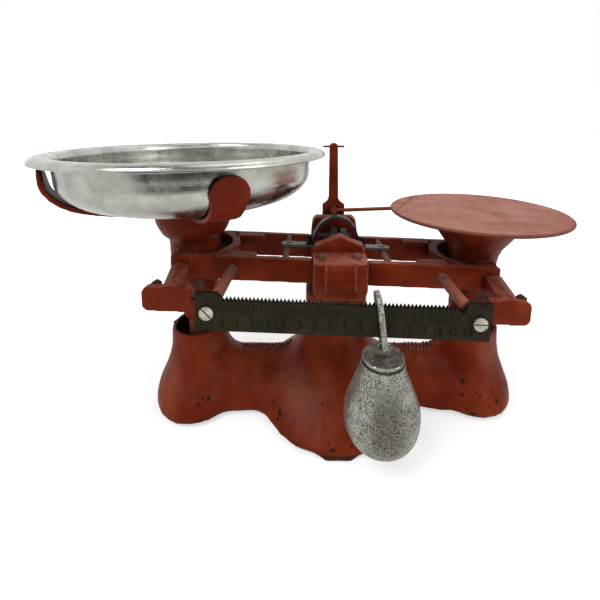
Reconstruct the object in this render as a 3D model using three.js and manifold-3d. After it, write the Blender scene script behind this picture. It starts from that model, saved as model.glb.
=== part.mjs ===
import * as THREE from 'three';
import { mergeVertices } from 'three/addons/utils/BufferGeometryUtils.js';
import Module from 'manifold-3d';

const wasm = await Module();
wasm.setup();

// A double beam balance: a hollow iron base, a tilting double beam on a central
// fulcrum, a pan on the left support, a plate on the right support, and a
// notched bar with a sliding poise in front. Millimetres, +Z up, floor at z = 0.
// Pieces are drawn with x = 0 at the fulcrum and y = 0 half way between the beam
// bars; the whole is then moved along x so that the origin is its middle.

// Driving dimensions
const seat = 0.3;
const overrun = 5;
const fulcrumHeight = 113.5;
const panRadius = 101.6;
const panOffset = 2;
const panRoom = 8.4;
const armLength = panRadius + panOffset + panRoom;
const linkPivotHeight = 17.5;
const linkDrop = fulcrumHeight - linkPivotHeight;
const beamTilt = THREE.MathUtils.degToRad(2.5);

// Base casting
const baseWall = 5;
const footHeight = 2.6;
const footWidth = 20;
const footDepth = 9;
const columnDrop = 55.5;
const columnTop = fulcrumHeight - columnDrop;
const columnRadius = 21.8;
const columnWall = 3;
const leftLobeReach = 35.5;
const leftLobeDepth = 44;
const rightLobeReach = 33.2;
const rightLobeDepth = 40.2;
const hubDrop = 30.5;
const hubTop = fulcrumHeight - hubDrop;
const hubRadius = 24;
const hubFlareX = 66;
const hubFlareY = 71;
const ridgeTop = 32;
const ridgeHalfWidth = 33;
const ridgeInset = 12;
const ridgeEnd = armLength - ridgeInset;
const headWidth = 46;
const headDrop = 16.5;
const headTop = fulcrumHeight - headDrop;
const headSink = 3;
const headBottom = hubTop - headSink;
const headHalfLength = 36;
const headCorner = 15;
const beadRadius = 1.9;
const beadCount = 6;
const beadFirst = 46;
const beadPitch = 5;

// Fulcrum blocks
const blockWidth = 39;
const blockOuterFace = 41;
const blockInnerFace = 14;
const blockRise = 11.5;
const blockTop = fulcrumHeight + blockRise;
const blockCorner = 6;
const cheekOuter = 34;
const cheekInner = 22;
const windowBelow = 13.5;
const windowBottom = fulcrumHeight - windowBelow;
const windowAbove = 7.5;
const windowTop = fulcrumHeight + windowAbove;
const housingRise = 13;
const rearHousingRise = 18.5;
const housingWidth = 38;
const panelWidth = 22;
const panelProud = 2;
const pocketWidth = 9;
const pocketDepth = 5.5;
const pocketBelow = 6.5;
const pocketAbove = 5.5;
const blockScrewRadius = 3;
const blockScrewHeight = 2.4;
const blockScrewX = 12.5;
const blockScrewY = 31;
const frontBlockShift = 1.9;

// Knives and their bearings
const knifeHalfWidth = 2.4;
const knifeHeight = 4;
const bearingHeight = 5.5;
const bearingHalfWidth = 3.6;
const grooveSlope = 0.35;

// Beam frame
const barInner = 25;
const barOuter = 31;
const barHeight = 17.7;
const leftBeamPast = 8;
const rightBeamPast = 5.5;
const rearBarDrop = 2.2;
const endPadLength = 14;
const endPadProud = 1.1;
const barNotchPlay = 1;
const barNotchTop = 6.2;
const ringOuter = 35;
const ringInner = 28.5;
const flangeLength = 17;
const flangeReach = 7;
const flangeThick = 3;
const crossRodX = 38.5;
const crossRodRadius = 2.5;
const crossRodHeight = 6;

// Arch strap, foot plates and index
const stripWidth = 8;
const footPlateEnd = 43.5;
const footPlateStart = 12;
const footPlateThick = 1.8;
const archHalfWidth = 18.6;
const archRise = 24;
const archThick = 1.6;
const archFoot = 5;
const boltRadius = 2.6;
const boltHeight = 5;
const indexHalfWidth = 7;
const indexStrip = 14;
const indexOffset = 3;
const indexThick = 2.4;
const indexTop = 24.1;
const indexShoulder = 19;
const fixedIndexRise = 13.5;
const fixedIndexBottom = fulcrumHeight + fixedIndexRise;
const fixedIndexHeight = 8;
const fixedIndexTop = fixedIndexBottom + fixedIndexHeight;
const fixedIndexStripHeight = 2.5;
const fixedIndexStripTop = fixedIndexBottom + fixedIndexStripHeight;

// Tower and rest rod
const towerFace = 26;
const towerThick = 5;
const towerRise = 90.5;
const towerTop = fulcrumHeight + towerRise;
const towerBaseWidth = 19;
const towerShoulderRise = 37.5;
const towerShoulder = fulcrumHeight + towerShoulderRise;
const towerNeckHeight = 7;
const towerNeck = towerShoulder + towerNeckHeight;
const towerShaftWidth = 8.2;
const towerTipWidth = 7;
const crossPinDrop = 3;
const crossPinHeight = towerTop - crossPinDrop;
const crossPinLength = 18;
const crossPinRadius = 0.9;
const restRodRadius = 1.65;
const restRodUnder = 9.6;
const restRodRise = 33;
const restRodHeight = fulcrumHeight + restRodRise;

// Notched bar and its brackets
const scaleFront = 72.3;
const scaleThick = 3;
const scaleLeftInset = 23.1;
const scaleLeft = scaleLeftInset - armLength;
const scaleRightInset = 19.4;
const scaleRight = armLength - scaleRightInset;
const scaleTop = 2.1;
const scaleDrop = 22.3;
const toothTipDrop = 0.5;
const toothTip = -toothTipDrop;
const toothDepth = 2.4;
const toothPitch = 2.381;
const toothInset = 40.5;
const toothStart = toothInset - armLength;
const slopeRun = 5;
const notchDrop = 7;
const notchInset = 36.5;
const notchX = armLength - notchInset;
const toothCount = Math.floor((notchX - slopeRun * 0.8 - toothStart) / toothPitch);
const scaleScrewLeftInset = 30.3;
const scaleScrewLeft = scaleScrewLeftInset - armLength;
const scaleScrewRightInset = 26.8;
const scaleScrewRight = armLength - scaleScrewRightInset;
const scaleScrewDrop = 10.2;
const scaleScrewRadius = 4.4;
const scaleScrewHeight = 1.7;
const scaleScrewShank = 2.1;
const screwSlotWidth = 0.9;
const screwSlotDepth = 0.8;
const earThick = 5;
const leftEarPast = 11;
const rightEarPast = 6.5;
const earInset = 39;
const earInner = armLength - earInset;
const earTop = 3;
const earDrop = 12.9;
const earCorner = 4.6;
const earReliefDrop = 5;
const earReliefInset = 20;
const earReliefX = armLength - earReliefInset;
const armWidth = 13;
const armSlant = 0.23;
const armTop = 5;
const armDrop = 8;
const sideRodInset = 35.6;
const sideRodX = armLength - sideRodInset;
const sideRodRadius = 3.75;
const sideRodDrop = 0.5;
const nutRadius = 3.2;
const nutSides = 6;
const leftNutPast = 4.4;
const rightNutPast = 3.1;
const nutThick = 3;
const clipWidth = 5;
const clipThick = 1.6;
const clipRadius = 4.2;
const clipInset = 20.7;
const clipX = armLength - clipInset;

// Supports
const yokeHalfWidth = 7.5;
const yokeHalfLength = 23.2;
const yokeTop = 8.5;
const yokeDrop = 11;
const bearingPocketDepth = 5.7;
const bearingPocketWidth = 10;
const lowerBodyRadius = 16.5;
const lowerBodyDrop = 41;
const lowerConeDrop = 54;
const stemRadius = 8.5;
const stemCollar = 2;
const stemSocket = 10;
const tongueThick = 3.2;
const tongueHeight = 16;
const linkPinRadius = 2;
const openPivotPlay = 0.6;
const cradleNeckRadius = 19.2;
const cupRadius = 30.5;
const cupTop = 39.2;
const cupWall = 3;
const petalTurns = [-58.5, -148.5, 31.5, 121.5];
const petalWidth = 24;
const petalNeck = 21;
const petalThick = 3.4;
const petalTipDrop = 8.3;
const petalRootPlay = 0.8;
const petalTipPlay = 1.8;
const trumpetNeckRadius = 17.2;
const trumpetWall = 4;
const trumpetTopRadius = 42;
const plateRadius = 65.3;
const plateOffset = 1.3;
const plateThick = 2.5;
const plateTop = 44.4;

// Pan
const panSeatGap = 1.1;
const panDepth = 42.3;
const panRimZ = cupTop + panSeatGap + panDepth;
const petalTipZ = panRimZ - petalTipDrop;
const panWall = 1.6;
const panFlatRadius = 31;
const panLip = 11.8;
const panLipDrop = 4.6;

// Check links
const linkHeight = 6.5;
const linkThick = 4;
const linkGap = 2.4;
const pivotPinRadius = 2.5;
const postHalfWidth = 8;
const postHalfLength = 12;
const postWall = 3.4;
const postBottomDrop = 6;

// Poise
const poiseX = 22.4;
const poiseSwingX = 26;
const poiseY = 73.2;
const poiseRadius = 24.2;
const poiseBottom = 15.7;
const eyeDrop = 29;
const eyeHeight = fulcrumHeight - eyeDrop;
const eyeAboveDisc = 5.5;
const poiseDiscTop = eyeHeight - eyeAboveDisc;
const poiseDiscRadius = 13.3;
const poiseDiscThick = 3.4;
const linkThickX = 3.4;
const linkLeg = 3;
const linkSlot = 9.8;
const linkRung = 2.6;
const poiseLinkRise = 6.3;
const poiseLinkTop = fulcrumHeight + poiseLinkRise;
const lugRadius = 4.8;
const lugThick = 3.2;
const lugHole = 2.7;

const fine = 28;
const medium = 16;
const small = 10;
const profileSteps = 8;
const arcSteps = 5;

// Helpers
function signedVolume(position, index) {
  const corner = [new THREE.Vector3(), new THREE.Vector3(), new THREE.Vector3()];
  let total = 0;
  for (let i = 0; i < index.length; i += 3) {
    corner.forEach((c, k) => c.fromBufferAttribute(position, index[i + k]));
    total += corner[0].dot(corner[1].clone().cross(corner[2]));
  }
  return total;
}

function solid(geometry) {
  const plain = geometry.clone();
  plain.deleteAttribute('normal');
  plain.deleteAttribute('uv');
  const merged = mergeVertices(plain, seat / 1000);
  const index = merged.index.array;
  const kept = [];
  for (let i = 0; i < index.length; i += 3) {
    const [a, b, c] = [index[i], index[i + 1], index[i + 2]];
    if (a !== b && b !== c && c !== a) kept.push(a, b, c);
  }
  const position = merged.getAttribute('position');
  if (signedVolume(position, kept) < 0) kept.reverse();
  return new wasm.Manifold(new wasm.Mesh({
    numProp: 3,
    vertProperties: new Float32Array(position.array),
    triVerts: new Uint32Array(kept),
  }));
}

function shapeOf(points) {
  return new THREE.Shape(points.map(([a, b]) => new THREE.Vector2(a, b)));
}

function extrude(shape, depth, curveSegments = arcSteps) {
  return new THREE.ExtrudeGeometry(shape, { depth, bevelEnabled: false, curveSegments });
}

// Outline in x and z, from y = low to y = high
function prismY(shape, low, high) {
  return solid(extrude(shape, high - low).rotateX(Math.PI / 2).translate(0, high, 0));
}

// Outline in y and z, from x = low to x = high
function prismX(shape, low, high) {
  const toX = new THREE.Matrix4().makeBasis(
    new THREE.Vector3(0, 1, 0), new THREE.Vector3(0, 0, 1), new THREE.Vector3(1, 0, 0));
  return solid(extrude(shape, high - low).applyMatrix4(toX).translate(low, 0, 0));
}

// Outline in x and y, from z = low to z = high
function prismZ(shape, low, high) {
  return solid(extrude(shape, high - low).translate(0, 0, low));
}

function box(x0, x1, y0, y1, z0, z1) {
  const geometry = new THREE.BoxGeometry(x1 - x0, y1 - y0, z1 - z0);
  return solid(geometry.translate((x0 + x1) / 2, (y0 + y1) / 2, (z0 + z1) / 2));
}

function rodY(radius, x, z, low, high, sides = medium) {
  const geometry = new THREE.CylinderGeometry(radius, radius, high - low, sides);
  return solid(geometry.translate(x, (low + high) / 2, z));
}

function rodZ(radius, x, y, low, high, sides = medium) {
  const geometry = new THREE.CylinderGeometry(radius, radius, high - low, sides);
  return solid(geometry.rotateX(Math.PI / 2).translate(x, y, (low + high) / 2));
}

function rodX(radius, y, z, low, high, sides = medium) {
  const geometry = new THREE.CylinderGeometry(radius, radius, high - low, sides);
  return solid(geometry.rotateZ(Math.PI / 2).translate((low + high) / 2, y, z));
}

function turned(profile, sides = fine) {
  const points = profile.map(([r, z]) => new THREE.Vector2(r, z));
  return solid(new THREE.LatheGeometry(points, sides).rotateX(Math.PI / 2));
}

function smoothProfile(points, steps) {
  const curve = new THREE.SplineCurve(points.map(([a, b]) => new THREE.Vector2(a, b)));
  return curve.getPoints(steps).map((p) => [p.x, p.y]);
}

function roundedRect(x0, x1, z0, z1, r) {
  const shape = new THREE.Shape();
  shape.moveTo(x0 + r, z0);
  shape.lineTo(x1 - r, z0);
  shape.absarc(x1 - r, z0 + r, r, -Math.PI / 2, 0, false);
  shape.lineTo(x1, z1 - r);
  shape.absarc(x1 - r, z1 - r, r, 0, Math.PI / 2, false);
  shape.lineTo(x0 + r, z1);
  shape.absarc(x0 + r, z1 - r, r, Math.PI / 2, Math.PI, false);
  shape.lineTo(x0, z0 + r);
  shape.absarc(x0 + r, z0 + r, r, Math.PI, Math.PI * 1.5, false);
  return shape;
}

function toMesh(name, body, material) {
  const { vertProperties, triVerts } = body.getMesh();
  const geometry = new THREE.BufferGeometry();
  geometry.setAttribute('position', new THREE.BufferAttribute(new Float32Array(vertProperties), 3));
  geometry.setIndex(new THREE.BufferAttribute(new Uint32Array(triVerts), 1));
  const mesh = new THREE.Mesh(geometry, material);
  mesh.name = name;
  return mesh;
}

// Materials
function paint(color, roughness, metalness) {
  return new THREE.MeshStandardMaterial({ color, roughness, metalness });
}

const redPaint = paint(0x8e2418, 0.45, 0);
const wornRed = paint(0x9c4a3c, 0.6, 0.1);
const aluminium = paint(0xb8b8b6, 0.35, 1);
const castSilver = paint(0xa8a59c, 0.55, 0.8);
const bronze = paint(0x3a3826, 0.5, 0.6);
const darkSteel = paint(0x33332f, 0.5, 0.8);
const greySteel = paint(0x7b7d74, 0.5, 0.7);
const nickel = paint(0xc4bda8, 0.35, 1);

// How far out and how high the hub's bell stands, as shares of its flare and height
const hubShare = [
  [1, 0], [0.97, 0.05], [0.78, 0.15], [0.53, 0.27], [0.31, 0.4], [0.15, 0.55], [0.04, 0.75], [0, 0.92],
];
const columnShare = [
  [1, 0], [0.94, 0.16], [0.72, 0.3], [0.36, 0.48], [0.12, 0.66], [0, 0.84],
];

// Base casting: two end columns, a centre hub and a ridge between them, all hollow
function columnBell(reach, shrink, top) {
  const r = columnRadius - shrink;
  const foot = reach - shrink;
  const height = columnTop - footHeight;
  const profile = smoothProfile(columnShare.map(([wide, tall]) => [r + (foot - r) * wide, footHeight + height * tall]),
    profileSteps);
  const low = shrink > 0 ? footHeight - overrun : footHeight;
  return [[0, low], [foot, low], ...profile, [r, top], [0, top]];
}

// The column stays round while its foot widens towards the front and the back
function columnSolid(side, shrink, top) {
  const reach = side < 0 ? leftLobeReach : rightLobeReach;
  const foot = reach - shrink;
  const wide = (side < 0 ? leftLobeDepth : rightLobeDepth) - shrink;
  const neck = columnRadius - shrink;
  const geometry = new THREE.LatheGeometry(
    columnBell(reach, shrink, top).map(([r, z]) => new THREE.Vector2(r, z)), fine).rotateX(Math.PI / 2);
  const position = geometry.getAttribute('position');
  for (let i = 0; i < position.count; i += 1) {
    const x = position.getX(i);
    const y = position.getY(i);
    const spread = Math.max(0, (Math.hypot(x, y) - neck) / (foot - neck));
    position.setY(i, y + y * spread * (wide - foot) / foot);
  }
  return solid(geometry);
}

function hubBell(shrink, top) {
  const r = hubRadius - shrink;
  const foot = hubFlareY - shrink;
  const height = hubTop - footHeight;
  const profile = smoothProfile(hubShare.map(([wide, tall]) => [r + (foot - r) * wide, footHeight + height * tall]),
    profileSteps);
  const low = shrink > 0 ? footHeight - overrun : footHeight;
  return [[0, low], [foot, low], ...profile, [r, top], [0, top]];
}

function hubSolid(shrink, top) {
  const squeeze = (hubFlareX - shrink) / (hubFlareY - shrink);
  return turned(hubBell(shrink, top)).scale([squeeze, 1, 1]);
}

function ridgeSolid(shrink) {
  const half = ridgeHalfWidth - shrink;
  const top = ridgeTop - shrink;
  const low = shrink > 0 ? footHeight - overrun : footHeight;
  const shape = new THREE.Shape();
  shape.moveTo(-half, low);
  shape.lineTo(half, low);
  shape.bezierCurveTo(half, top / 2, half / 2, top, 0, top);
  shape.bezierCurveTo(-half / 2, top, -half, top / 2, -half, low);
  return prismX(shape, -ridgeEnd, ridgeEnd);
}

function foot(x, y, halfX, halfY) {
  return box(x - halfX, x + halfX, y - halfY, y + halfY, 0, footHeight + seat);
}

function ridgeBeads(side) {
  let beads = null;
  for (let row = 0; row < 2; row += 1) {
    for (let i = 0; i < beadCount; i += 1) {
      const x = side * (beadFirst + i * beadPitch);
      const y = (row - 0.5) * beadPitch;
      const bead = rodZ(beadRadius, x, y, ridgeTop - beadRadius * 2, ridgeTop + beadRadius / 2, 6);
      beads = beads ? beads.add(bead) : bead;
    }
  }
  return beads;
}

function baseCasting() {
  let outer = hubSolid(0, hubTop).add(ridgeSolid(0));
  let inner = hubSolid(baseWall, hubTop - baseWall).add(ridgeSolid(baseWall));
  const head = roundedRect(-headWidth / 2, headWidth / 2, -headHalfLength, headHalfLength, headCorner);
  outer = outer.add(prismZ(head, headBottom, headTop));
  for (const side of [-1, 1]) {
    const column = columnSolid(side, 0, columnTop);
    const bore = columnSolid(side, baseWall, columnTop / 2);
    const mouth = rodZ(columnRadius - columnWall, 0, 0, footHeight, columnTop + overrun, fine);
    outer = outer.add(column.translate([side * armLength, 0, 0])).add(ridgeBeads(side));
    inner = inner.add(bore.add(mouth).translate([side * armLength, 0, 0]));
  }
  let casting = outer.subtract(inner);
  const footInset = footDepth / 2 + baseWall / 5;
  for (const side of [-1, 1]) {
    const reach = side < 0 ? leftLobeReach : rightLobeReach;
    const footEnd = side * (armLength + reach - footInset);
    casting = casting.add(foot(0, side * (hubFlareY - footInset), footWidth / 2, footDepth / 2));
    casting = casting.add(foot(footEnd, 0, footDepth / 2, footWidth / 2));
  }
  return toMesh('base_casting', casting, redPaint);
}

// How far out and how high each housing's edge stands, as shares of its half width and its
// rise above the block: the front one is humped, and the rear one is nearly flat
const housingShare = [[1, 0.28], [0.92, 0.5], [0.65, 0.62], [0.33, 0.86], [0.1, 1]];
const rearHousingShare = [[1, 0.5], [0.94, 0.86], [0.8, 1]];

function housingOutline(side) {
  const wide = housingWidth / 2;
  const rise = side < 0 ? housingRise : rearHousingRise;
  const right = (side < 0 ? housingShare : rearHousingShare).map(([a, b]) => [wide * a, blockTop + rise * b]);
  const left = right.map(([a, b]) => [-a, b]).reverse();
  return shapeOf([[-wide, headTop + seat], [wide, headTop + seat], ...right, ...left]);
}

// Raised panel that rolls over the block's top edge and fades out downwards
function blockPanel() {
  const face = -blockOuterFace + seat;
  const out = -blockOuterFace - panelProud;
  const round = shapeOf([
    [face, blockTop - seat], [out + panelProud / 2, blockTop - panelProud / 2], [out, blockTop - panelProud * 2],
    [out, headTop + blockCorner * 1.8], [face, headTop + blockCorner / 2],
  ]);
  return prismX(round, -panelWidth / 2, panelWidth / 2);
}

// Fulcrum blocks: each straddles one bar and holds the bearings of its knife
function fulcrumBlock(name, side) {
  const half = blockWidth / 2;
  const lower = roundedRect(-half, half, headTop + seat, blockTop + blockCorner, blockCorner);
  let body = prismY(lower, -blockOuterFace, -cheekInner + seat)
    .subtract(box(-half - overrun, half + overrun, -blockOuterFace - overrun, 0, blockTop, blockTop + blockCorner * 2));
  body = body.add(prismY(housingOutline(side), -cheekInner, -blockInnerFace));
  body = body.add(blockPanel());
  if (side < 0) body = body.translate([frontBlockShift, 0, 0]);
  body = body.subtract(box(-blockWidth, blockWidth, -cheekOuter, -cheekInner, windowBottom, windowTop));
  const low = fulcrumHeight - pocketBelow;
  const high = fulcrumHeight + pocketAbove;
  const wideHalf = pocketWidth / 2;
  body = body.subtract(box(-wideHalf, wideHalf, -cheekOuter - pocketDepth, -cheekOuter + seat, low, high));
  body = body.subtract(box(-wideHalf, wideHalf, -cheekInner - seat, -cheekInner + pocketDepth, low, high));
  const shift = side < 0 ? frontBlockShift : 0;
  for (const x of [shift - blockScrewX, shift + blockScrewX]) {
    const sink = rodZ(blockScrewRadius / 2 + seat, x, -blockScrewY,
      blockTop - blockScrewHeight, blockTop + overrun, small);
    body = body.subtract(sink);
  }
  if (side > 0) body = body.mirror([0, 1, 0]);
  return toMesh(name, body, redPaint);
}

function blockScrew(name, x, side, headZ) {
  const head = rodZ(blockScrewRadius, x, side * blockScrewY, headZ, headZ + blockScrewHeight, small);
  const shank = rodZ(blockScrewRadius / 2, x, side * blockScrewY,
    blockTop - blockScrewHeight + seat, headZ + seat, small);
  const slot = box(x - blockScrewRadius * 2, x + blockScrewRadius * 2,
    side * blockScrewY - screwSlotWidth / 2, side * blockScrewY + screwSlotWidth / 2,
    headZ + blockScrewHeight - screwSlotDepth, headZ + blockScrewHeight + overrun);
  return toMesh(name, head.add(shank).subtract(slot), wornRed);
}

// Bearing with a shallow groove that the knife edge lies in
function bearing(name, x, z, low, high, opensUp) {
  const w = bearingHalfWidth;
  const deep = knifeHalfWidth * grooveSlope;
  const points = [
    [-w, -bearingHeight], [w, -bearingHeight], [w, -seat],
    [knifeHalfWidth, -seat], [0, -seat - deep], [-knifeHalfWidth, -seat], [-w, -seat],
  ];
  const flip = opensUp ? 1 : -1;
  const outline = points.map(([a, b]) => [x + a, z + flip * (b + deep)]);
  return toMesh(name, prismY(shapeOf(outline), low, high), darkSteel);
}

function mainBearing(name, side, outer) {
  const gap = seat;
  const low = outer ? cheekOuter + gap : cheekInner - pocketDepth + gap;
  const high = outer ? cheekOuter + pocketDepth - gap : cheekInner - gap;
  const [a, b] = side < 0 ? [-high, -low] : [low, high];
  return bearing(name, 0, fulcrumHeight, a, b, true);
}

// Beam pieces are drawn about the fulcrum: z = 0 is the knife edge line
function knifeOutline(x, edgeUp, grow) {
  const flip = edgeUp ? -1 : 1;
  const w = knifeHalfWidth + grow;
  return shapeOf([
    [x, flip * -grow * 2], [x + w, flip * (knifeHeight * 0.7)], [x + w, flip * (knifeHeight + grow)],
    [x - w, flip * (knifeHeight + grow)], [x - w, flip * (knifeHeight * 0.7)],
  ]);
}

function mainKnife(name, side) {
  const low = cheekInner - pocketDepth + seat * 2;
  const high = cheekOuter + pocketDepth - seat * 2;
  const [a, b] = side < 0 ? [-high, -low] : [low, high];
  return toMesh(name, prismY(knifeOutline(0, false, 0), a, b), darkSteel);
}

function endKnife(name, end, side) {
  const low = yokeHalfLength - bearingPocketDepth + seat * 2;
  const high = barOuter - seat * 2;
  const [a, b] = side < 0 ? [-high, -low] : [low, high];
  return toMesh(name, prismY(knifeOutline(end * armLength, true, 0), a, b), darkSteel);
}

function halfRing(end) {
  const half = barHeight / 2;
  const ring = rodZ(ringOuter, 0, 0, -half, half, fine)
    .subtract(rodZ(ringInner, 0, 0, -half - overrun, half + overrun, fine));
  const inward = box(0, ringOuter + overrun, -barOuter + seat, barOuter - seat, -half, half);
  let piece = ring.intersect(inward);
  if (end > 0) piece = piece.mirror([1, 0, 0]);
  return piece.translate([end * armLength, 0, 0]);
}

function beamFrame() {
  const half = barHeight / 2;
  const ends = { left: -armLength - leftBeamPast, right: armLength + rightBeamPast };
  let frame = null;
  for (const side of [-1, 1]) {
    const [low, high] = side < 0 ? [-barOuter, -barInner] : [barInner, barOuter];
    const bottom = side < 0 ? -half : -half - rearBarDrop;
    let bar = box(ends.left, ends.right, low, high, bottom, half);
    for (const end of [-1, 1]) {
      const outerX = end < 0 ? ends.left : ends.right;
      const innerX = outerX - end * endPadLength;
      const face = side * barOuter;
      const proud = side * (barOuter + endPadProud);
      bar = bar.add(box(Math.min(outerX, innerX), Math.max(outerX, innerX),
        Math.min(face, proud), Math.max(face, proud), bottom, half));
      const ringEdge = end * (armLength - ringOuter);
      const flangeX = ringEdge - end * flangeLength;
      const rimIn = side * (barInner - flangeReach);
      const web = shapeOf([
        [ringEdge + end * flangeReach, side * barInner], [flangeX, side * barInner],
        [flangeX, rimIn], [ringEdge + end * flangeReach / 2, rimIn],
      ]);
      bar = bar.add(prismZ(web, half - flangeThick, half));
    }
    frame = frame ? frame.add(bar) : bar;
  }
  frame = frame.add(halfRing(-1)).add(halfRing(1));
  for (const side of [-1, 1]) {
    const [low, high] = side < 0 ? [-barOuter, -barInner] : [barInner, barOuter];
    const notchHalf = blockWidth / 2 + barNotchPlay;
    const notchMiddle = side < 0 ? frontBlockShift : 0;
    frame = frame.subtract(box(notchMiddle - notchHalf, notchMiddle + notchHalf, low - overrun, high + overrun,
      barNotchTop, half + overrun));
    frame = frame.subtract(prismY(knifeOutline(0, false, seat), low - overrun, high + overrun));
    for (const end of [-1, 1]) {
      frame = frame.subtract(prismY(knifeOutline(end * armLength, true, seat),
        low - overrun, high + overrun));
    }
  }
  const hole = crossRodRadius + seat;
  for (const end of [-1, 1]) {
    frame = frame.subtract(rodY(hole, end * crossRodX, crossRodHeight,
      -(barInner + barOuter) / 2 - seat, (barInner + barOuter) / 2 + seat, small));
  }
  return toMesh('beam_frame', frame, redPaint);
}

function crossRod(name, end) {
  const reach = (barInner + barOuter) / 2;
  return toMesh(name, rodY(crossRodRadius, end * crossRodX, crossRodHeight, -reach, reach, small), wornRed);
}

const plateSeat = crossRodHeight + crossRodRadius + seat;
const plateTopZ = plateSeat + footPlateThick;

function footPlate(name, end) {
  const half = stripWidth / 2;
  const shape = new THREE.Shape();
  shape.moveTo(footPlateStart, -half);
  shape.lineTo(footPlateEnd - half, -half);
  shape.absarc(footPlateEnd - half, 0, half, -Math.PI / 2, Math.PI / 2, false);
  shape.lineTo(footPlateStart, half);
  let plate = prismZ(shape, plateSeat, plateTopZ);
  const slot = roundedRect(crossRodX - half, footPlateEnd - half, -half / 4, half / 4, half / 5);
  plate = plate.subtract(prismZ(slot, plateSeat - overrun, plateTopZ + overrun));
  plate = plate.subtract(rodZ(boltRadius / 2 + seat, archHalfWidth + archFoot / 2, 0,
    plateSeat - overrun, plateTopZ + overrun, small));
  if (end < 0) plate = plate.mirror([1, 0, 0]);
  return toMesh(name, plate, greySteel);
}

function archStrap() {
  const base = plateTopZ + seat;
  const outerA = archHalfWidth;
  const shape = new THREE.Shape();
  const footOut = outerA + archFoot;
  shape.moveTo(footOut, base);
  shape.lineTo(footOut, base + archThick);
  shape.lineTo(outerA, base + archThick);
  shape.absellipse(0, base + archThick, outerA, archRise - archThick, 0, Math.PI, false);
  shape.lineTo(-footOut, base + archThick);
  shape.lineTo(-footOut, base);
  shape.lineTo(-outerA + archThick, base);
  shape.absellipse(0, base, outerA - archThick, archRise - archThick, Math.PI, 0, true);
  shape.lineTo(footOut, base);
  let strap = prismY(shape, -stripWidth / 2, stripWidth / 2);
  for (const end of [-1, 1]) {
    strap = strap.subtract(rodZ(boltRadius / 2 + seat, end * (outerA + archFoot / 2), 0,
      base - overrun, base + archThick + overrun, small));
  }
  return toMesh('arch_strap', strap, darkSteel);
}

function archBolt(name, end) {
  const x = end * (archHalfWidth + archFoot / 2);
  const headZ = plateTopZ + archThick + seat * 2;
  const head = rodZ(boltRadius, x, 0, headZ, headZ + boltHeight, 6);
  const shank = rodZ(boltRadius / 2, x, 0, plateSeat - seat, headZ + seat, small);
  return toMesh(name, head.add(shank), darkSteel);
}

function movingIndex() {
  const low = plateTopZ + seat;
  const stripEnd = archHalfWidth - archThick - seat * 3;
  const outline = shapeOf([
    [indexOffset + seat, low], [stripEnd, low], [stripEnd, low + indexThick / 2],
    [indexOffset + indexHalfWidth, low + indexThick / 2], [indexOffset + indexHalfWidth, indexShoulder],
    [indexOffset + indexHalfWidth * 0.7, indexTop], [indexOffset + seat, indexTop],
  ]);
  return toMesh('moving_index', prismY(outline, -indexThick / 2, indexThick / 2), greySteel);
}

function fixedIndex() {
  const outline = shapeOf([
    [-indexStrip, fixedIndexBottom], [indexStrip, fixedIndexBottom],
    [indexStrip, fixedIndexStripTop], [indexOffset - seat, fixedIndexStripTop], [indexOffset - seat, fixedIndexTop],
    [indexOffset - indexHalfWidth * 0.7, fixedIndexTop], [indexOffset - indexHalfWidth, fixedIndexStripTop],
    [-indexStrip, fixedIndexStripTop],
  ]);
  const back = blockInnerFace - seat;
  return toMesh('fixed_index', prismY(outline, back - indexThick, back), greySteel);
}

// Tower on the rear block, with its cross pin and the rest rod
function tower() {
  const foot = blockTop + seat;
  const half = towerBaseWidth / 2;
  const neck = towerShaftWidth / 2;
  const tip = towerTipWidth / 2;
  const shape = new THREE.Shape();
  shape.moveTo(-half, foot);
  shape.lineTo(half, foot);
  shape.lineTo(half, towerShoulder);
  shape.quadraticCurveTo(neck, towerShoulder + (towerNeck - towerShoulder) / 3, neck, towerNeck);
  shape.lineTo(tip, towerTop - tip / 2);
  shape.lineTo(tip / 2, towerTop);
  shape.lineTo(-tip / 2, towerTop);
  shape.lineTo(-tip, towerTop - tip / 2);
  shape.lineTo(-neck, towerNeck);
  shape.quadraticCurveTo(-neck, towerShoulder + (towerNeck - towerShoulder) / 3, -half, towerShoulder);
  let body = prismY(shape, towerFace, towerFace + towerThick);
  const toe = box(-blockScrewX - blockScrewRadius - seat, blockScrewX + blockScrewRadius + seat,
    blockScrewY - blockScrewRadius - seat, blockScrewY + blockScrewRadius * 2, foot, foot + towerThick / 2);
  body = body.add(toe);
  for (const x of [-blockScrewX, blockScrewX]) {
    body = body.subtract(rodZ(blockScrewRadius / 2 + seat, x, blockScrewY,
      foot - overrun, foot + towerThick / 2 + overrun, small));
  }
  const middle = towerFace + towerThick / 2;
  body = body.subtract(rodX(crossPinRadius + seat, middle, crossPinHeight, -half, half, small));
  body = body.subtract(rodY(restRodRadius + seat, 0, restRodHeight, towerFace - overrun,
    towerFace + towerThick + overrun, small));
  return toMesh('tower', body, redPaint);
}

function crossPin() {
  const y = towerFace + towerThick / 2;
  const half = crossPinLength / 2;
  return toMesh('tower_cross_pin', rodX(crossPinRadius, y, crossPinHeight, -half, half, small / 2), darkSteel);
}

function restRod() {
  const y = towerFace - restRodRadius * 2;
  const reach = armLength - plateOffset - plateRadius + restRodUnder;
  const rod = rodX(restRodRadius, 0, 0, 0, reach, small / 2);
  const climb = Math.asin((plateUnderside - seat - restRodRadius - restRodHeight) / reach);
  const lifted = rod.rotate([0, -THREE.MathUtils.radToDeg(climb), 0]).translate([0, y, restRodHeight]);
  const hub = rodY(restRodRadius * 1.8, 0, restRodHeight, y - restRodRadius, towerFace - seat, small);
  const tail = rodY(restRodRadius, 0, restRodHeight, y, towerFace + towerThick, small);
  return toMesh('rest_rod', lifted.add(hub).add(tail), redPaint);
}

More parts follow.
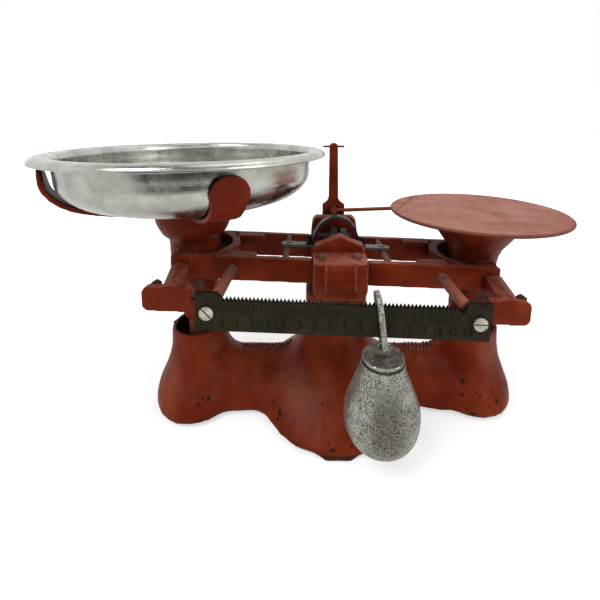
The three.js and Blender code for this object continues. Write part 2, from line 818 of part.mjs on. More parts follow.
const linkSeatZ = fulcrumHeight + toothTip - poiseX * Math.sin(beamTilt) + linkThickX * Math.sin(beamTilt) + seat * 2;
const plateUnderside = fulcrumHeight - armLength * Math.sin(beamTilt) + plateTop - plateThick;

// Notched bar: drawn from its left end, with a sloped corner beside each side rod
function scaleOutline() {
  const root = toothTip - toothDepth;
  const points = [[scaleLeft, -scaleDrop], [scaleRight, -scaleDrop], [scaleRight, scaleTop]];
  points.push([notchX + slopeRun / 2, scaleTop]);
  points.push([notchX, scaleTop - notchDrop]);
  for (let i = toothCount - 1; i >= 0; i -= 1) {
    const x = toothStart + i * toothPitch;
    points.push([x + toothPitch, root]);
    points.push([x + toothPitch / 2, toothTip]);
  }
  points.push([toothStart, root]);
  points.push([toothStart - slopeRun, scaleTop]);
  points.push([scaleLeft, scaleTop]);
  return shapeOf(points);
}

function scaleBar() {
  let bar = prismY(scaleOutline(), -scaleFront, -scaleFront + scaleThick);
  for (const x of [scaleScrewLeft, scaleScrewRight]) {
    bar = bar.subtract(rodY(scaleScrewShank + seat, x, -scaleScrewDrop,
      -scaleFront - overrun, -scaleFront + scaleThick + overrun, small));
  }
  return toMesh('scale_bar', bar, bronze);
}

const earFront = -scaleFront + scaleThick + seat;

function scaleScrew(name, x, turn) {
  const face = -scaleFront - seat;
  const head = rodY(scaleScrewRadius, 0, 0, face - scaleScrewHeight, face, medium);
  const shank = rodY(scaleScrewShank, 0, 0, face - seat, earFront + earThick / 2, small);
  const half = screwSlotWidth / 2;
  const slot = box(-scaleScrewRadius * 2, scaleScrewRadius * 2,
    face - scaleScrewHeight - overrun, face - scaleScrewHeight + screwSlotDepth, -half, half);
  const body = head.add(shank).subtract(slot.rotate([0, turn, 0]));
  return toMesh(name, body.translate([x, 0, -scaleScrewDrop]), nickel);
}

function scaleBracket(name, end) {
  const back = earFront + earThick;
  const ear = new THREE.Shape();
  const r = earCorner;
  const tip = armLength + (end < 0 ? leftEarPast : rightEarPast);
  ear.moveTo(earInner, -earDrop);
  ear.lineTo(tip - r, -earDrop);
  ear.absarc(tip - r, -earDrop + r, r, -Math.PI / 2, 0, false);
  ear.absarc(tip - r, earTop - r, r, 0, Math.PI / 2, false);
  ear.lineTo(earReliefX, earTop);
  ear.lineTo(earReliefX, -earReliefDrop);
  ear.lineTo(earInner, -earReliefDrop);
  const armEnd = -barOuter - endPadProud - seat;
  const frontX = armLength - armSlant * (armEnd - back);
  const top = shapeOf([
    [frontX - armWidth, earTop - r], [frontX + armWidth * 0.6, earTop - r],
    [frontX + armWidth * 0.45, armTop * 0.7], [frontX, armTop * 0.85], [frontX - armWidth * 0.4, armTop * 0.7],
  ]);
  let body = prismY(ear, earFront, back).add(prismY(top, earFront, back));
  const armOutline = shapeOf([
    [armLength - armWidth / 2, -armDrop], [armLength + armWidth / 2, -armDrop],
    [armLength + armWidth / 2, armTop * 0.6], [armLength + armWidth * 0.1, armTop],
    [armLength - armWidth / 2, armTop * 0.6],
  ]);
  const arm = prismY(armOutline, back - seat, armEnd).transform([
    1, 0, 0, 0, armSlant, 1, 0, 0, 0, 0, 1, 0, -armSlant * armEnd, 0, 0, 1,
  ]);
  body = body.add(arm);
  body = body.subtract(rodY(scaleScrewShank + seat, Math.abs(end > 0 ? scaleScrewRight : scaleScrewLeft),
    -scaleScrewDrop, earFront - overrun, back + overrun, small));
  if (end < 0) body = body.mirror([1, 0, 0]);
  return toMesh(name, body, redPaint);
}

function sideRod(name, end) {
  const low = -scaleFront + scaleThick + seat;
  const high = -barOuter - seat;
  return toMesh(name, rodY(sideRodRadius, end * sideRodX, -sideRodDrop, low, high, small), wornRed);
}

function bracketNut(name, end) {
  const low = earFront + earThick + seat;
  const x = end * (armLength + (end < 0 ? leftNutPast : rightNutPast));
  const body = rodY(nutRadius, x, earTop - nutRadius / 2, low, low + nutThick, nutSides);
  return toMesh(name, body, greySteel);
}

// Bent spring clip between the ear and the side rod
function clip(name, end) {
  const outer = clipRadius;
  const inner = clipRadius - clipThick;
  const shape = new THREE.Shape();
  shape.moveTo(outer, -clipRadius);
  shape.lineTo(outer, 0);
  shape.absarc(0, 0, outer, 0, Math.PI, false);
  shape.lineTo(-inner, 0);
  shape.absarc(0, 0, inner, Math.PI, 0, true);
  shape.lineTo(inner, -clipRadius);
  const low = earFront + earThick + seat;
  let body = prismY(shape, low, low + clipWidth).translate([clipX, 0, earTop - clipThick * 2]);
  if (end < 0) body = body.mirror([1, 0, 0]);
  return toMesh(name, body, greySteel);
}

// Supports are drawn about their knife edge line: a yoke across the beam, a round body
// that reaches down into the column, and a pocket for a bearing at each end of the yoke
function bearingPockets() {
  const half = bearingPocketWidth / 2;
  const deep = yokeHalfLength - bearingPocketDepth;
  const pocket = box(-half, half, deep, yokeHalfLength + overrun, -knifeHeight - seat * 4, bearingHeight + seat);
  return pocket.add(pocket.mirror([0, 1, 0]));
}

function supportBody(upper, neckRadius) {
  const lower = turned([
    [0, -lowerConeDrop], [stemRadius + stemCollar, -lowerConeDrop], [lowerBodyRadius, -lowerBodyDrop],
    [lowerBodyRadius, -yokeDrop], [neckRadius, 0], [neckRadius, seat], [0, seat],
  ]);
  const yoke = box(-yokeHalfWidth, yokeHalfWidth, -yokeHalfLength, yokeHalfLength, -yokeDrop, yokeTop);
  const socket = rodZ(stemRadius + seat, 0, 0, -lowerConeDrop - overrun, -lowerConeDrop + stemSocket, medium);
  return upper.add(lower).add(yoke).subtract(bearingPockets()).subtract(socket);
}

// How far out and how high the cup stands, as shares of its flare and height above the knife line
const cupShare = [[0, 0.02], [0, 0.3], [0.12, 0.37], [0.48, 0.475], [0.76, 0.64], [0.86, 0.76], [1, 1]];

function cradleProfile() {
  const flare = cupRadius - cradleNeckRadius;
  const curve = smoothProfile(cupShare.map(([wide, tall]) => [cradleNeckRadius + flare * wide, cupTop * tall]),
    profileSteps);
  const floor = yokeTop + cupWall;
  const inside = offsetProfile(curve, -cupWall).reverse().filter(([, z]) => z > floor + cupWall && z < cupTop);
  return [[0, 0], ...curve, [cupRadius - cupWall, cupTop], ...inside,
    [cradleNeckRadius - cupWall * 2, floor], [0, floor]];
}

// How far out and how high the pan's wall stands, as shares of its spread and depth
const panShare = [
  [0, 0], [0.24, 0.025], [0.5, 0.09], [0.79, 0.22], [0.965, 0.45], [0.995, 0.71], [1, 1 - panLipDrop / panDepth],
];

function panOuterProfile(steps) {
  const spread = panRadius - panLip - panFlatRadius;
  const floor = panRimZ - panDepth;
  return smoothProfile(panShare.map(([wide, tall]) => [panFlatRadius + spread * wide, floor + panDepth * tall]),
    steps);
}

// Moves each point of a profile outward (or inward) along its normal
function offsetProfile(profile, distance) {
  return profile.map(([r, z], i) => {
    const next = profile[Math.min(i + 1, profile.length - 1)];
    const last = profile[Math.max(i - 1, 0)];
    const along = new THREE.Vector2(next[0] - last[0], next[1] - last[1]).normalize();
    return [r + along.y * distance, z - along.x * distance];
  });
}

// A petal hugs the underside of the pan and stands further off it towards its round head
function petal() {
  const floor = panRimZ - panDepth;
  const root = [[cupRadius - cupWall, floor]];
  const reach = root.concat(panOuterProfile(profileSteps * 2).filter(([, z]) => z < petalTipZ + petalThick));
  const stand = (z) => petalRootPlay + petalTipPlay * (z - floor) / (petalTipZ - floor);
  const upper = reach.map((point, i) => offsetProfile(reach, stand(point[1]))[i]);
  const lower = reach.map((point, i) => offsetProfile(reach, stand(point[1]) + petalThick)[i]).reverse();
  const side = prismY(shapeOf([...upper, ...lower]), -petalWidth / 2, petalWidth / 2);
  const half = petalWidth / 2;
  const neck = petalNeck / 2;
  const centre = petalTipZ - half;
  const shoulder = Math.acos(neck / half);
  const outline = new THREE.Shape();
  outline.moveTo(-neck, floor - petalThick * 3);
  outline.lineTo(neck, floor - petalThick * 3);
  outline.absarc(0, centre, half, -shoulder, Math.PI + shoulder, false);
  return side.intersect(prismX(outline, 0, panRadius));
}

function leftCradle() {
  let body = supportBody(turned(cradleProfile()), cradleNeckRadius);
  for (const angle of petalTurns) body = body.add(petal().rotate([0, 0, angle]));
  return toMesh('left_cradle', body, redPaint);
}

// How far out and how high the trumpet stands, as shares of its flare and height
const trumpetShare = [[0, 0], [0.015, 0.15], [0.125, 0.345], [0.275, 0.48], [0.53, 0.69], [0.76, 0.86], [1, 0.98]];

function rightTrumpet() {
  const top = plateTop - plateThick - seat;
  const flare = trumpetTopRadius - trumpetNeckRadius;
  const curve = smoothProfile(trumpetShare.map(([wide, tall]) => [trumpetNeckRadius + flare * wide, top * tall]),
    profileSteps);
  const floor = yokeTop + trumpetWall;
  const inside = offsetProfile(curve, -trumpetWall).reverse().filter(([, z]) => z > floor + trumpetWall && z < top);
  const profile = [[0, 0], ...curve, [trumpetTopRadius, top], [trumpetTopRadius - trumpetWall, top], ...inside,
    [trumpetNeckRadius - trumpetWall, floor], [0, floor]];
  return toMesh('right_trumpet', supportBody(turned(profile), trumpetNeckRadius), redPaint);
}

function plate() {
  const rim = plateThick / 2;
  const profile = [[0, plateTop - plateThick], [plateRadius - rim, plateTop - plateThick],
    [plateRadius, plateTop - rim], [plateRadius - rim / 2, plateTop], [0, plateTop]];
  return toMesh('plate', turned(profile).translate([-plateOffset, 0, 0]), wornRed);
}

function supportBearing(name, side) {
  const low = yokeHalfLength - bearingPocketDepth + seat;
  const high = yokeHalfLength;
  const [a, b] = side < 0 ? [-high, -low] : [low, high];
  return bearing(name, 0, 0, a, b, false);
}

// Stem with a flat tongue; its hole has play around the pin of the check link
function stem(name) {
  const end = -linkDrop - tongueHeight / 2;
  const shoulder = -linkDrop + tongueHeight;
  const round = rodZ(stemRadius, 0, 0, shoulder, -lowerConeDrop + stemSocket - seat, medium);
  const tongue = box(-stemRadius + seat, stemRadius - seat, -tongueThick / 2, tongueThick / 2, end, shoulder + seat);
  const hole = rodY(linkPinRadius + openPivotPlay, 0, -linkDrop, -overrun, overrun, small);
  return toMesh(name, round.add(tongue).subtract(hole), redPaint);
}

// Check links are drawn about the lower centre pivot; the left one lies in front
function linkFaces(end) {
  return end < 0 ? [-linkGap - linkThick, -linkGap] : [linkGap, linkGap + linkThick];
}

function checkLink(name, end) {
  const half = linkHeight / 2;
  const shape = new THREE.Shape();
  shape.moveTo(0, -half);
  shape.lineTo(armLength, -half);
  shape.absarc(armLength, 0, half, -Math.PI / 2, Math.PI / 2, false);
  shape.lineTo(0, half);
  shape.absarc(0, 0, half, Math.PI / 2, Math.PI * 1.5, false);
  const [low, high] = linkFaces(end);
  let body = prismY(shape, -high, -low);
  if (end < 0) body = body.mirror([1, 0, 0]);
  body = body.mirror([0, 1, 0]);
  body = body.subtract(rodY(pivotPinRadius + seat, 0, 0, low - overrun, high + overrun, small));
  body = body.subtract(rodY(linkPinRadius + seat, end * armLength, 0, low - overrun, high + overrun, small));
  return toMesh(name, body, darkSteel);
}

function linkPin(name, end) {
  const reach = tongueThick / 2 + linkGap;
  const [low, high] = linkFaces(end);
  const [a, b] = end < 0 ? [low, reach] : [-reach, high];
  return toMesh(name, rodY(linkPinRadius, end * armLength, 0, a, b, small), greySteel);
}

function linkPost() {
  const pivotZ = fulcrumHeight - linkDrop;
  const top = hubTop - baseWall - seat;
  let post = box(-postHalfWidth, postHalfWidth, -postHalfLength, postHalfLength, pivotZ - postBottomDrop, top);
  const slot = postHalfLength - postWall;
  post = post.subtract(box(-postHalfWidth - overrun, postHalfWidth + overrun, -slot, slot,
    pivotZ - postBottomDrop - overrun, pivotZ + linkHeight * 2));
  post = post.subtract(rodY(pivotPinRadius + seat, 0, pivotZ, -postHalfLength - overrun,
    postHalfLength + overrun, small));
  return toMesh('link_post', post, redPaint);
}

function pivotPin() {
  const pivotZ = fulcrumHeight - linkDrop;
  return toMesh('link_pivot_pin',
    rodY(pivotPinRadius, 0, pivotZ, -postHalfLength, postHalfLength, small), greySteel);
}

// How far out and how high the rolled lip stands, as shares of its reach and drop: out
// under the lip, round its edge and back over the top
const lipShare = [
  [0.1, 0.36], [0.3, 0.56], [0.55, 0.6], [0.78, 0.42], [0.9, 0.12], [0.95, 0], [1, 0.1], [0.97, 0.42],
  [0.84, 0.78], [0.6, 0.98], [0.4, 1], [0.14, 0.9], [-0.04, 0.66],
];

// Pan: one spun sheet with its lip rolled outward and down, drawn about the left knife line
function pan() {
  const floor = panRimZ - panDepth;
  const wallRadius = panRadius - panLip;
  const wallTop = panRimZ - panLipDrop;
  const outer = panOuterProfile(profileSteps);
  const lip = lipShare.map(([wide, tall]) => [wallRadius + panLip * wide, wallTop + panLipDrop * tall]);
  const inner = offsetProfile(outer, -panWall).reverse();
  const profile = [[0, floor], ...outer, ...lip, ...inner.slice(1), [0, floor + panWall]];
  return toMesh('pan', turned(profile).translate([panOffset, 0, 0]), aluminium);
}

// Poise: a flat link hung over the notched bar and a pear-shaped weight on its lower rung
function poiseLink() {
  const low = eyeHeight - linkRung / 2;
  const half = linkSlot / 2 + linkLeg;
  const outer = roundedRect(-poiseY - half, -poiseY + half, low, poiseLinkTop, linkLeg * 1.6);
  const inner = roundedRect(-poiseY - linkSlot / 2, -poiseY + linkSlot / 2,
    low + linkRung, linkSeatZ, linkLeg * 0.8);
  const flat = prismX(outer, -linkThickX / 2, linkThickX / 2)
    .subtract(prismX(inner, -linkThickX / 2 - overrun, linkThickX / 2 + overrun));
  const lean = Math.atan((poiseSwingX - poiseX) / (linkSeatZ - eyeHeight));
  const leaned = flat.translate([0, 0, -eyeHeight])
    .rotate([0, THREE.MathUtils.radToDeg(-lean), 0]).translate([poiseSwingX, 0, eyeHeight]);
  return toMesh('poise_link', leaned, castSilver);
}

function poiseWeight() {
  const height = poiseDiscTop - poiseDiscThick - poiseBottom;
  const pear = smoothProfile([
    [poiseRadius * 0.02, 0], [poiseRadius * 0.55, height * 0.05], [poiseRadius * 0.9, height * 0.2],
    [poiseRadius, height * 0.4], [poiseRadius * 0.9, height * 0.62], [poiseRadius * 0.68, height * 0.82],
    [poiseDiscRadius * 0.92, height],
  ], 16);
  const disc = [[poiseDiscRadius * 0.92, height + poiseDiscThick * 0.2],
    [poiseDiscRadius, height + poiseDiscThick * 0.2], [poiseDiscRadius, height + poiseDiscThick * 0.85],
    [poiseDiscRadius * 0.95, height + poiseDiscThick], [0, height + poiseDiscThick]];
  let body = turned([[0, 0], ...pear, ...disc], medium).translate([poiseSwingX, -poiseY, poiseBottom]);
  const eye = new THREE.Shape();
  eye.moveTo(-lugRadius, poiseDiscTop - seat - eyeHeight);
  eye.lineTo(lugRadius, poiseDiscTop - seat - eyeHeight);
  eye.lineTo(lugRadius, 0);
  eye.absarc(0, 0, lugRadius, 0, Math.PI, false);
  const lug = prismY(eye, -lugThick / 2, lugThick / 2).subtract(rodY(lugHole, 0, 0, -overrun, overrun, small));
  body = body.add(lug.translate([poiseSwingX, -poiseY, eyeHeight]));
  return toMesh('poise_weight', body, castSilver);
}

const balance = new THREE.Group();
balance.position.x = (panRadius - panOffset - plateRadius + plateOffset) / 2;

const beam = new THREE.Group();
beam.position.z = fulcrumHeight;
beam.rotation.y = beamTilt;

const links = new THREE.Group();
links.position.z = fulcrumHeight - linkDrop;
links.rotation.y = beamTilt;

const leftSupport = new THREE.Group();
leftSupport.position.set(-armLength * Math.cos(beamTilt), 0, fulcrumHeight + armLength * Math.sin(beamTilt));

const rightSupport = new THREE.Group();
rightSupport.position.set(armLength * Math.cos(beamTilt), 0, fulcrumHeight - armLength * Math.sin(beamTilt));

balance.add(baseCasting());
balance.add(fulcrumBlock('front_fulcrum_block', -1), fulcrumBlock('rear_fulcrum_block', 1));
balance.add(mainBearing('front_outer_bearing', -1, true), mainBearing('front_inner_bearing', -1, false));
balance.add(mainBearing('rear_outer_bearing', 1, true), mainBearing('rear_inner_bearing', 1, false));
balance.add(blockScrew('front_block_screw_left', frontBlockShift - blockScrewX, -1, blockTop + seat));
balance.add(blockScrew('front_block_screw_right', frontBlockShift + blockScrewX, -1, blockTop + seat));
const toeTop = blockTop + seat * 2 + towerThick / 2;
balance.add(blockScrew('rear_block_screw_left', -blockScrewX, 1, toeTop));
balance.add(blockScrew('rear_block_screw_right', blockScrewX, 1, toeTop));
balance.add(tower(), crossPin(), restRod(), fixedIndex(), linkPost(), pivotPin());

beam.add(beamFrame(), mainKnife('front_main_knife', -1), mainKnife('rear_main_knife', 1));
beam.add(endKnife('left_front_knife', -1, -1), endKnife('left_rear_knife', -1, 1));
beam.add(endKnife('right_front_knife', 1, -1), endKnife('right_rear_knife', 1, 1));
beam.add(crossRod('left_cross_rod', -1), crossRod('right_cross_rod', 1));
beam.add(footPlate('left_foot_plate', -1), footPlate('right_foot_plate', 1), archStrap());
beam.add(archBolt('left_arch_bolt', -1), archBolt('right_arch_bolt', 1), movingIndex());
beam.add(scaleBracket('left_scale_bracket', -1), scaleBracket('right_scale_bracket', 1));
beam.add(sideRod('left_side_rod', -1), sideRod('right_side_rod', 1), scaleBar());
beam.add(scaleScrew('left_scale_screw', scaleScrewLeft, 45), scaleScrew('right_scale_screw', scaleScrewRight, 0));
beam.add(bracketNut('left_bracket_nut', -1), bracketNut('right_bracket_nut', 1));
beam.add(clip('left_clip', -1), clip('right_clip', 1));

leftSupport.add(leftCradle(), supportBearing('left_front_bearing', -1), supportBearing('left_rear_bearing', 1));
leftSupport.add(stem('left_stem'), pan());
rightSupport.add(rightTrumpet(), supportBearing('right_front_bearing', -1), supportBearing('right_rear_bearing', 1));
rightSupport.add(stem('right_stem'), plate());

links.add(checkLink('left_check_link', -1), linkPin('left_link_pin', -1));
links.add(checkLink('right_check_link', 1), linkPin('right_link_pin', 1));

balance.add(beam, links, leftSupport, rightSupport, poiseLink(), poiseWeight());

export default balance;
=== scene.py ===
import math

import bmesh
import bpy
import numpy as np
from mathutils import Matrix, Vector, noise
from mathutils.bvhtree import BVHTree


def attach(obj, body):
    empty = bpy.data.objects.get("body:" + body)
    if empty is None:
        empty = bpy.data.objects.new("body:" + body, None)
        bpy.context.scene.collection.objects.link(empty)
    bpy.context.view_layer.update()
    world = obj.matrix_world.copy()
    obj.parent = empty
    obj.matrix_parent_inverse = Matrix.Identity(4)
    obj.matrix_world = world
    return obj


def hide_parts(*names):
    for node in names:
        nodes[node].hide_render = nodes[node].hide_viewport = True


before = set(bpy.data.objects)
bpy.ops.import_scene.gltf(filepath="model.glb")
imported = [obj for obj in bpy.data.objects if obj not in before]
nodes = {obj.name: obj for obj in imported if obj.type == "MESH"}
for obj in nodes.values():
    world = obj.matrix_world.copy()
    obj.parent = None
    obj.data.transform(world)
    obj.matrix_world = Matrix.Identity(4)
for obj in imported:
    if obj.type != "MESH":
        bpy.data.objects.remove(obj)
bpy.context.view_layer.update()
scene = bpy.context.scene

# Driving sizes, in metres, shared with the CAD
MM = 0.001
FULCRUM = Vector((17.8 * MM, 0, 113.5 * MM))
TILT = math.radians(2.5)
ARM = 112 * MM
BEAM = Matrix.Translation(FULCRUM) @ Matrix.Rotation(TILT, 4, "Y")
LEFT_KNIFE = FULCRUM + Vector((-ARM * math.cos(TILT), 0, ARM * math.sin(TILT)))
RIGHT_KNIFE = FULCRUM + Vector((ARM * math.cos(TILT), 0, -ARM * math.sin(TILT)))
PAN_SHIFT = 2 * MM
PLATE_SHIFT = -1.3 * MM

# Camera: solved from the photograph, 600 x 600 pixels
IMAGE = 600
FOCAL_PIXELS = 350
CENTRE_PIXEL = (314.3, 176.6)
SENSOR = 36
CAMERA_PLACE = (1.2 * MM, -270.5 * MM, 220.8 * MM)
CAMERA_PITCH = 8.7
camera_data = bpy.data.cameras.new("camera")
camera_data.sensor_width = SENSOR
camera_data.lens = SENSOR * FOCAL_PIXELS / IMAGE
camera_data.shift_x = (IMAGE / 2 - CENTRE_PIXEL[0]) / IMAGE
camera_data.shift_y = (CENTRE_PIXEL[1] - IMAGE / 2) / IMAGE
camera_data.clip_start = 10 * MM
camera = bpy.data.objects.new("camera", camera_data)
camera.location = CAMERA_PLACE
camera.rotation_euler = (math.radians(90 - CAMERA_PITCH), 0, 0)
scene.collection.objects.link(camera)
scene.camera = camera


# Material building blocks
CREVICE_SAMPLES = 6


def new_material(name):
    material = bpy.data.materials.new(name)
    material.use_nodes = True
    tree = material.node_tree
    return material, tree, tree.nodes["Principled BSDF"]


def link(tree, source, target):
    tree.links.new(source, target)


def coordinates(tree):
    return tree.nodes.new("ShaderNodeTexCoord").outputs["Object"]


def moved(tree, vector, offset=(0, 0, 0), scale=(1, 1, 1), turn=(0, 0, 0)):
    node = tree.nodes.new("ShaderNodeMapping")
    node.inputs["Location"].default_value = offset
    node.inputs["Rotation"].default_value = turn
    node.inputs["Scale"].default_value = scale
    link(tree, vector, node.inputs["Vector"])
    return node.outputs["Vector"]


def noise_map(tree, vector, size, detail, roughness=0.55, distortion=0):
    node = tree.nodes.new("ShaderNodeTexNoise")
    node.inputs["Scale"].default_value = 1 / size
    node.inputs["Detail"].default_value = detail
    node.inputs["Roughness"].default_value = roughness
    node.inputs["Distortion"].default_value = distortion
    link(tree, vector, node.inputs["Vector"])
    return node.outputs["Fac"]


def cells(tree, vector, size):
    node = tree.nodes.new("ShaderNodeTexVoronoi")
    node.inputs["Scale"].default_value = 1 / size
    link(tree, vector, node.inputs["Vector"])
    return node.outputs["Distance"]


def window(tree, value, low, high, out_low=0, out_high=1):
    """Eases from out_low, where the value is low, to out_high, where it is high."""
    node = tree.nodes.new("ShaderNodeMapRange")
    node.interpolation_type = "SMOOTHSTEP"
    node.inputs["From Min"].default_value = low
    node.inputs["From Max"].default_value = high
    node.inputs["To Min"].default_value = out_low
    node.inputs["To Max"].default_value = out_high
    link(tree, value, node.inputs["Value"])
    return node.outputs["Result"]


def patches(tree, vector, size, detail, band, roughness=0.55, distortion=0):
    """Cloudy patches: noise seen through a window with the band's values."""
    return window(tree, noise_map(tree, vector, size, detail, roughness, distortion), *band)


def maths(tree, kind, a, b=None, clamp=True):
    """A maths node. Sums, differences and products are kept from 0 to 1 unless clamp is off."""
    node = tree.nodes.new("ShaderNodeMath")
    node.operation = kind
    node.use_clamp = clamp and kind in ("ADD", "SUBTRACT", "MULTIPLY")
    for socket, value in zip(node.inputs, (a, b)):
        if value is None:
            continue
        if isinstance(value, (int, float)):
            socket.default_value = value
        else:
            link(tree, value, socket)
    return node.outputs[0]


def plus(tree, a, b):
    return maths(tree, "ADD", a, b)


def minus(tree, a, b):
    return maths(tree, "SUBTRACT", a, b)


def greater(tree, a, b):
    return maths(tree, "MAXIMUM", a, b)


def times(tree, result, *factors):
    for factor in factors:
        result = maths(tree, "MULTIPLY", result, factor)
    return result


def mixed(tree, factor, a, b):
    node = tree.nodes.new("ShaderNodeMix")
    node.data_type = "RGBA"
    link(tree, factor, node.inputs[0])
    for socket, value in ((node.inputs[6], a), (node.inputs[7], b)):
        if isinstance(value, tuple):
            socket.default_value = (*value, 1)
        else:
            link(tree, value, socket)
    return node.outputs[2]


def painted(tree, colour, paint, mask, *shares):
    """The colour with paint over it where the mask is 1, thinned by the shares."""
    return mixed(tree, times(tree, mask, *shares), colour, paint)


def axes_of(tree, vector):
    node = tree.nodes.new("ShaderNodeSeparateXYZ")
    link(tree, vector, node.inputs[0])
    return node.outputs


def length_of(tree, vector):
    node = tree.nodes.new("ShaderNodeVectorMath")
    node.operation = "LENGTH"
    link(tree, vector, node.inputs[0])
    return node.outputs["Value"]


def edges(tree, low, high):
    node = tree.nodes.new("ShaderNodeNewGeometry")
    return window(tree, node.outputs["Pointiness"], low, high)


def upward(tree, low, high):
    """How far a face looks up, by the height of its normal."""
    node = tree.nodes.new("ShaderNodeNewGeometry")
    return window(tree, axes_of(tree, node.outputs["Normal"])[2], low, high)


# Ambient occlusion through a window, used to paint shade into corners and hollows
def crevices(tree, distance, open_level, deep_level):
    node = tree.nodes.new("ShaderNodeAmbientOcclusion")
    node.samples = CREVICE_SAMPLES
    node.inputs["Distance"].default_value = distance
    return window(tree, node.outputs["AO"], open_level, deep_level)


def bumped(tree, shader, height, strength, depth):
    node = tree.nodes.new("ShaderNodeBump")
    node.inputs["Strength"].default_value = strength
    node.inputs["Distance"].default_value = depth
    link(tree, height, node.inputs["Height"])
    link(tree, node.outputs["Normal"], shader.inputs["Normal"])


def finished(tree, shader, colour, rough, metallic=0.0, specular=0.5):
    link(tree, colour, shader.inputs["Base Color"])
    link(tree, rough, shader.inputs["Roughness"])
    shader.inputs["Metallic"].default_value = metallic
    shader.inputs["Specular IOR Level"].default_value = specular


def front_distance(tree, place, x, z, wide, high):
    """Distance from a point seen from the front: 0 there and 1 at the half sizes wide and high."""
    depth_share = 0.004
    scale = (1 / wide, depth_share / wide, 1 / high)
    return length_of(tree, moved(tree, place, (-x / wide, 0, -z / high), scale))


def axis_distance(tree, place, x, radius):
    """Distance from the upright axis at x: 1 at the radius."""
    return length_of(tree, moved(tree, place, (-x / radius, 0, 0), (1 / radius, 1 / radius, 0)))


def reach_and_height(tree, place, x):
    """Distance from the upright axis at x, and the height, both in metres."""
    axes = axes_of(tree, moved(tree, place, (-x, 0, 0)))
    squares = plus(tree, maths(tree, "POWER", axes[0], 2.0), maths(tree, "POWER", axes[1], 2.0))
    return maths(tree, "SQRT", squares), axes[2]


# Colours, linear
DEEP_RED = (0.165, 0.0175, 0.0045)
MID_RED = (0.27, 0.037, 0.0095)
BROWN_RED = (0.075, 0.012, 0.006)
# Faded paint, also the colour of painted highlights
FADED_AND_HIGHLIGHT_RED = (0.36, 0.135, 0.092)
# Dark iron for the chips, also the colour of painted shade in hollows
BARE_IRON_AND_SHADE = (0.016, 0.011, 0.009)
GRIMY_GREY = (0.15, 0.105, 0.08)

# Inner radius of the mouths at the tops of the base's columns
MOUTH_RADIUS = 19.4 * MM

# Painted highlights on the base's enamel, some with dusty haze: across, up, half width and half
# height in millimetres, and strength
HIGHLIGHTS_AND_HAZE = (
    (-14, 25, 19, 19, 0.55), (-110, 27, 16, 22, 0.3), (137, 44, 13, 22, 0.45),
    (-77, 46, 7, 9, 0.4), (30, 62, 9, 14, 0.25),
)

# Chips in it down to the iron: across, up, half width and half height in millimetres
CHIPS = (
    (-78.1, 16.7, 1.5, 2.1), (-81.9, 18.2, 1.5, 1.0), (-84.2, 15.3, 1.3, 1.6),
    (-84.5, 5.6, 1.2, 1.4), (-82.2, 6.9, 1.3, 0.8), (-24.0, 11.6, 1.7, 1.8),
    (-25.4, 8.9, 1.2, 1.1), (-30.0, 12.3, 1.1, 0.9), (10.8, 8.9, 0.8, 1.2),
    (26.2, 8.3, 1.0, 1.0), (6.9, 23.4, 1.0, 0.9), (13.4, 6.8, 2.4, 1.1),
    (115.3, 24.1, 1.5, 2.5), (113.6, 16.6, 1.4, 1.8), (123.8, 19.5, 1.2, 0.7),
    (125.7, 17.7, 1.3, 1.0), (135.8, 19.4, 1.1, 1.4), (131.6, 16.7, 1.0, 0.7),
    (138.3, 13.9, 1.9, 2.1), (132.0, 12.3, 1.1, 0.9), (150.0, 27.4, 0.9, 0.9),
    (150.0, 18.2, 0.9, 1.8), (119.9, 6.6, 3.4, 1.3),
)
CHIP_WIDER = 1.2
CHIP_HIGHER = 1.1


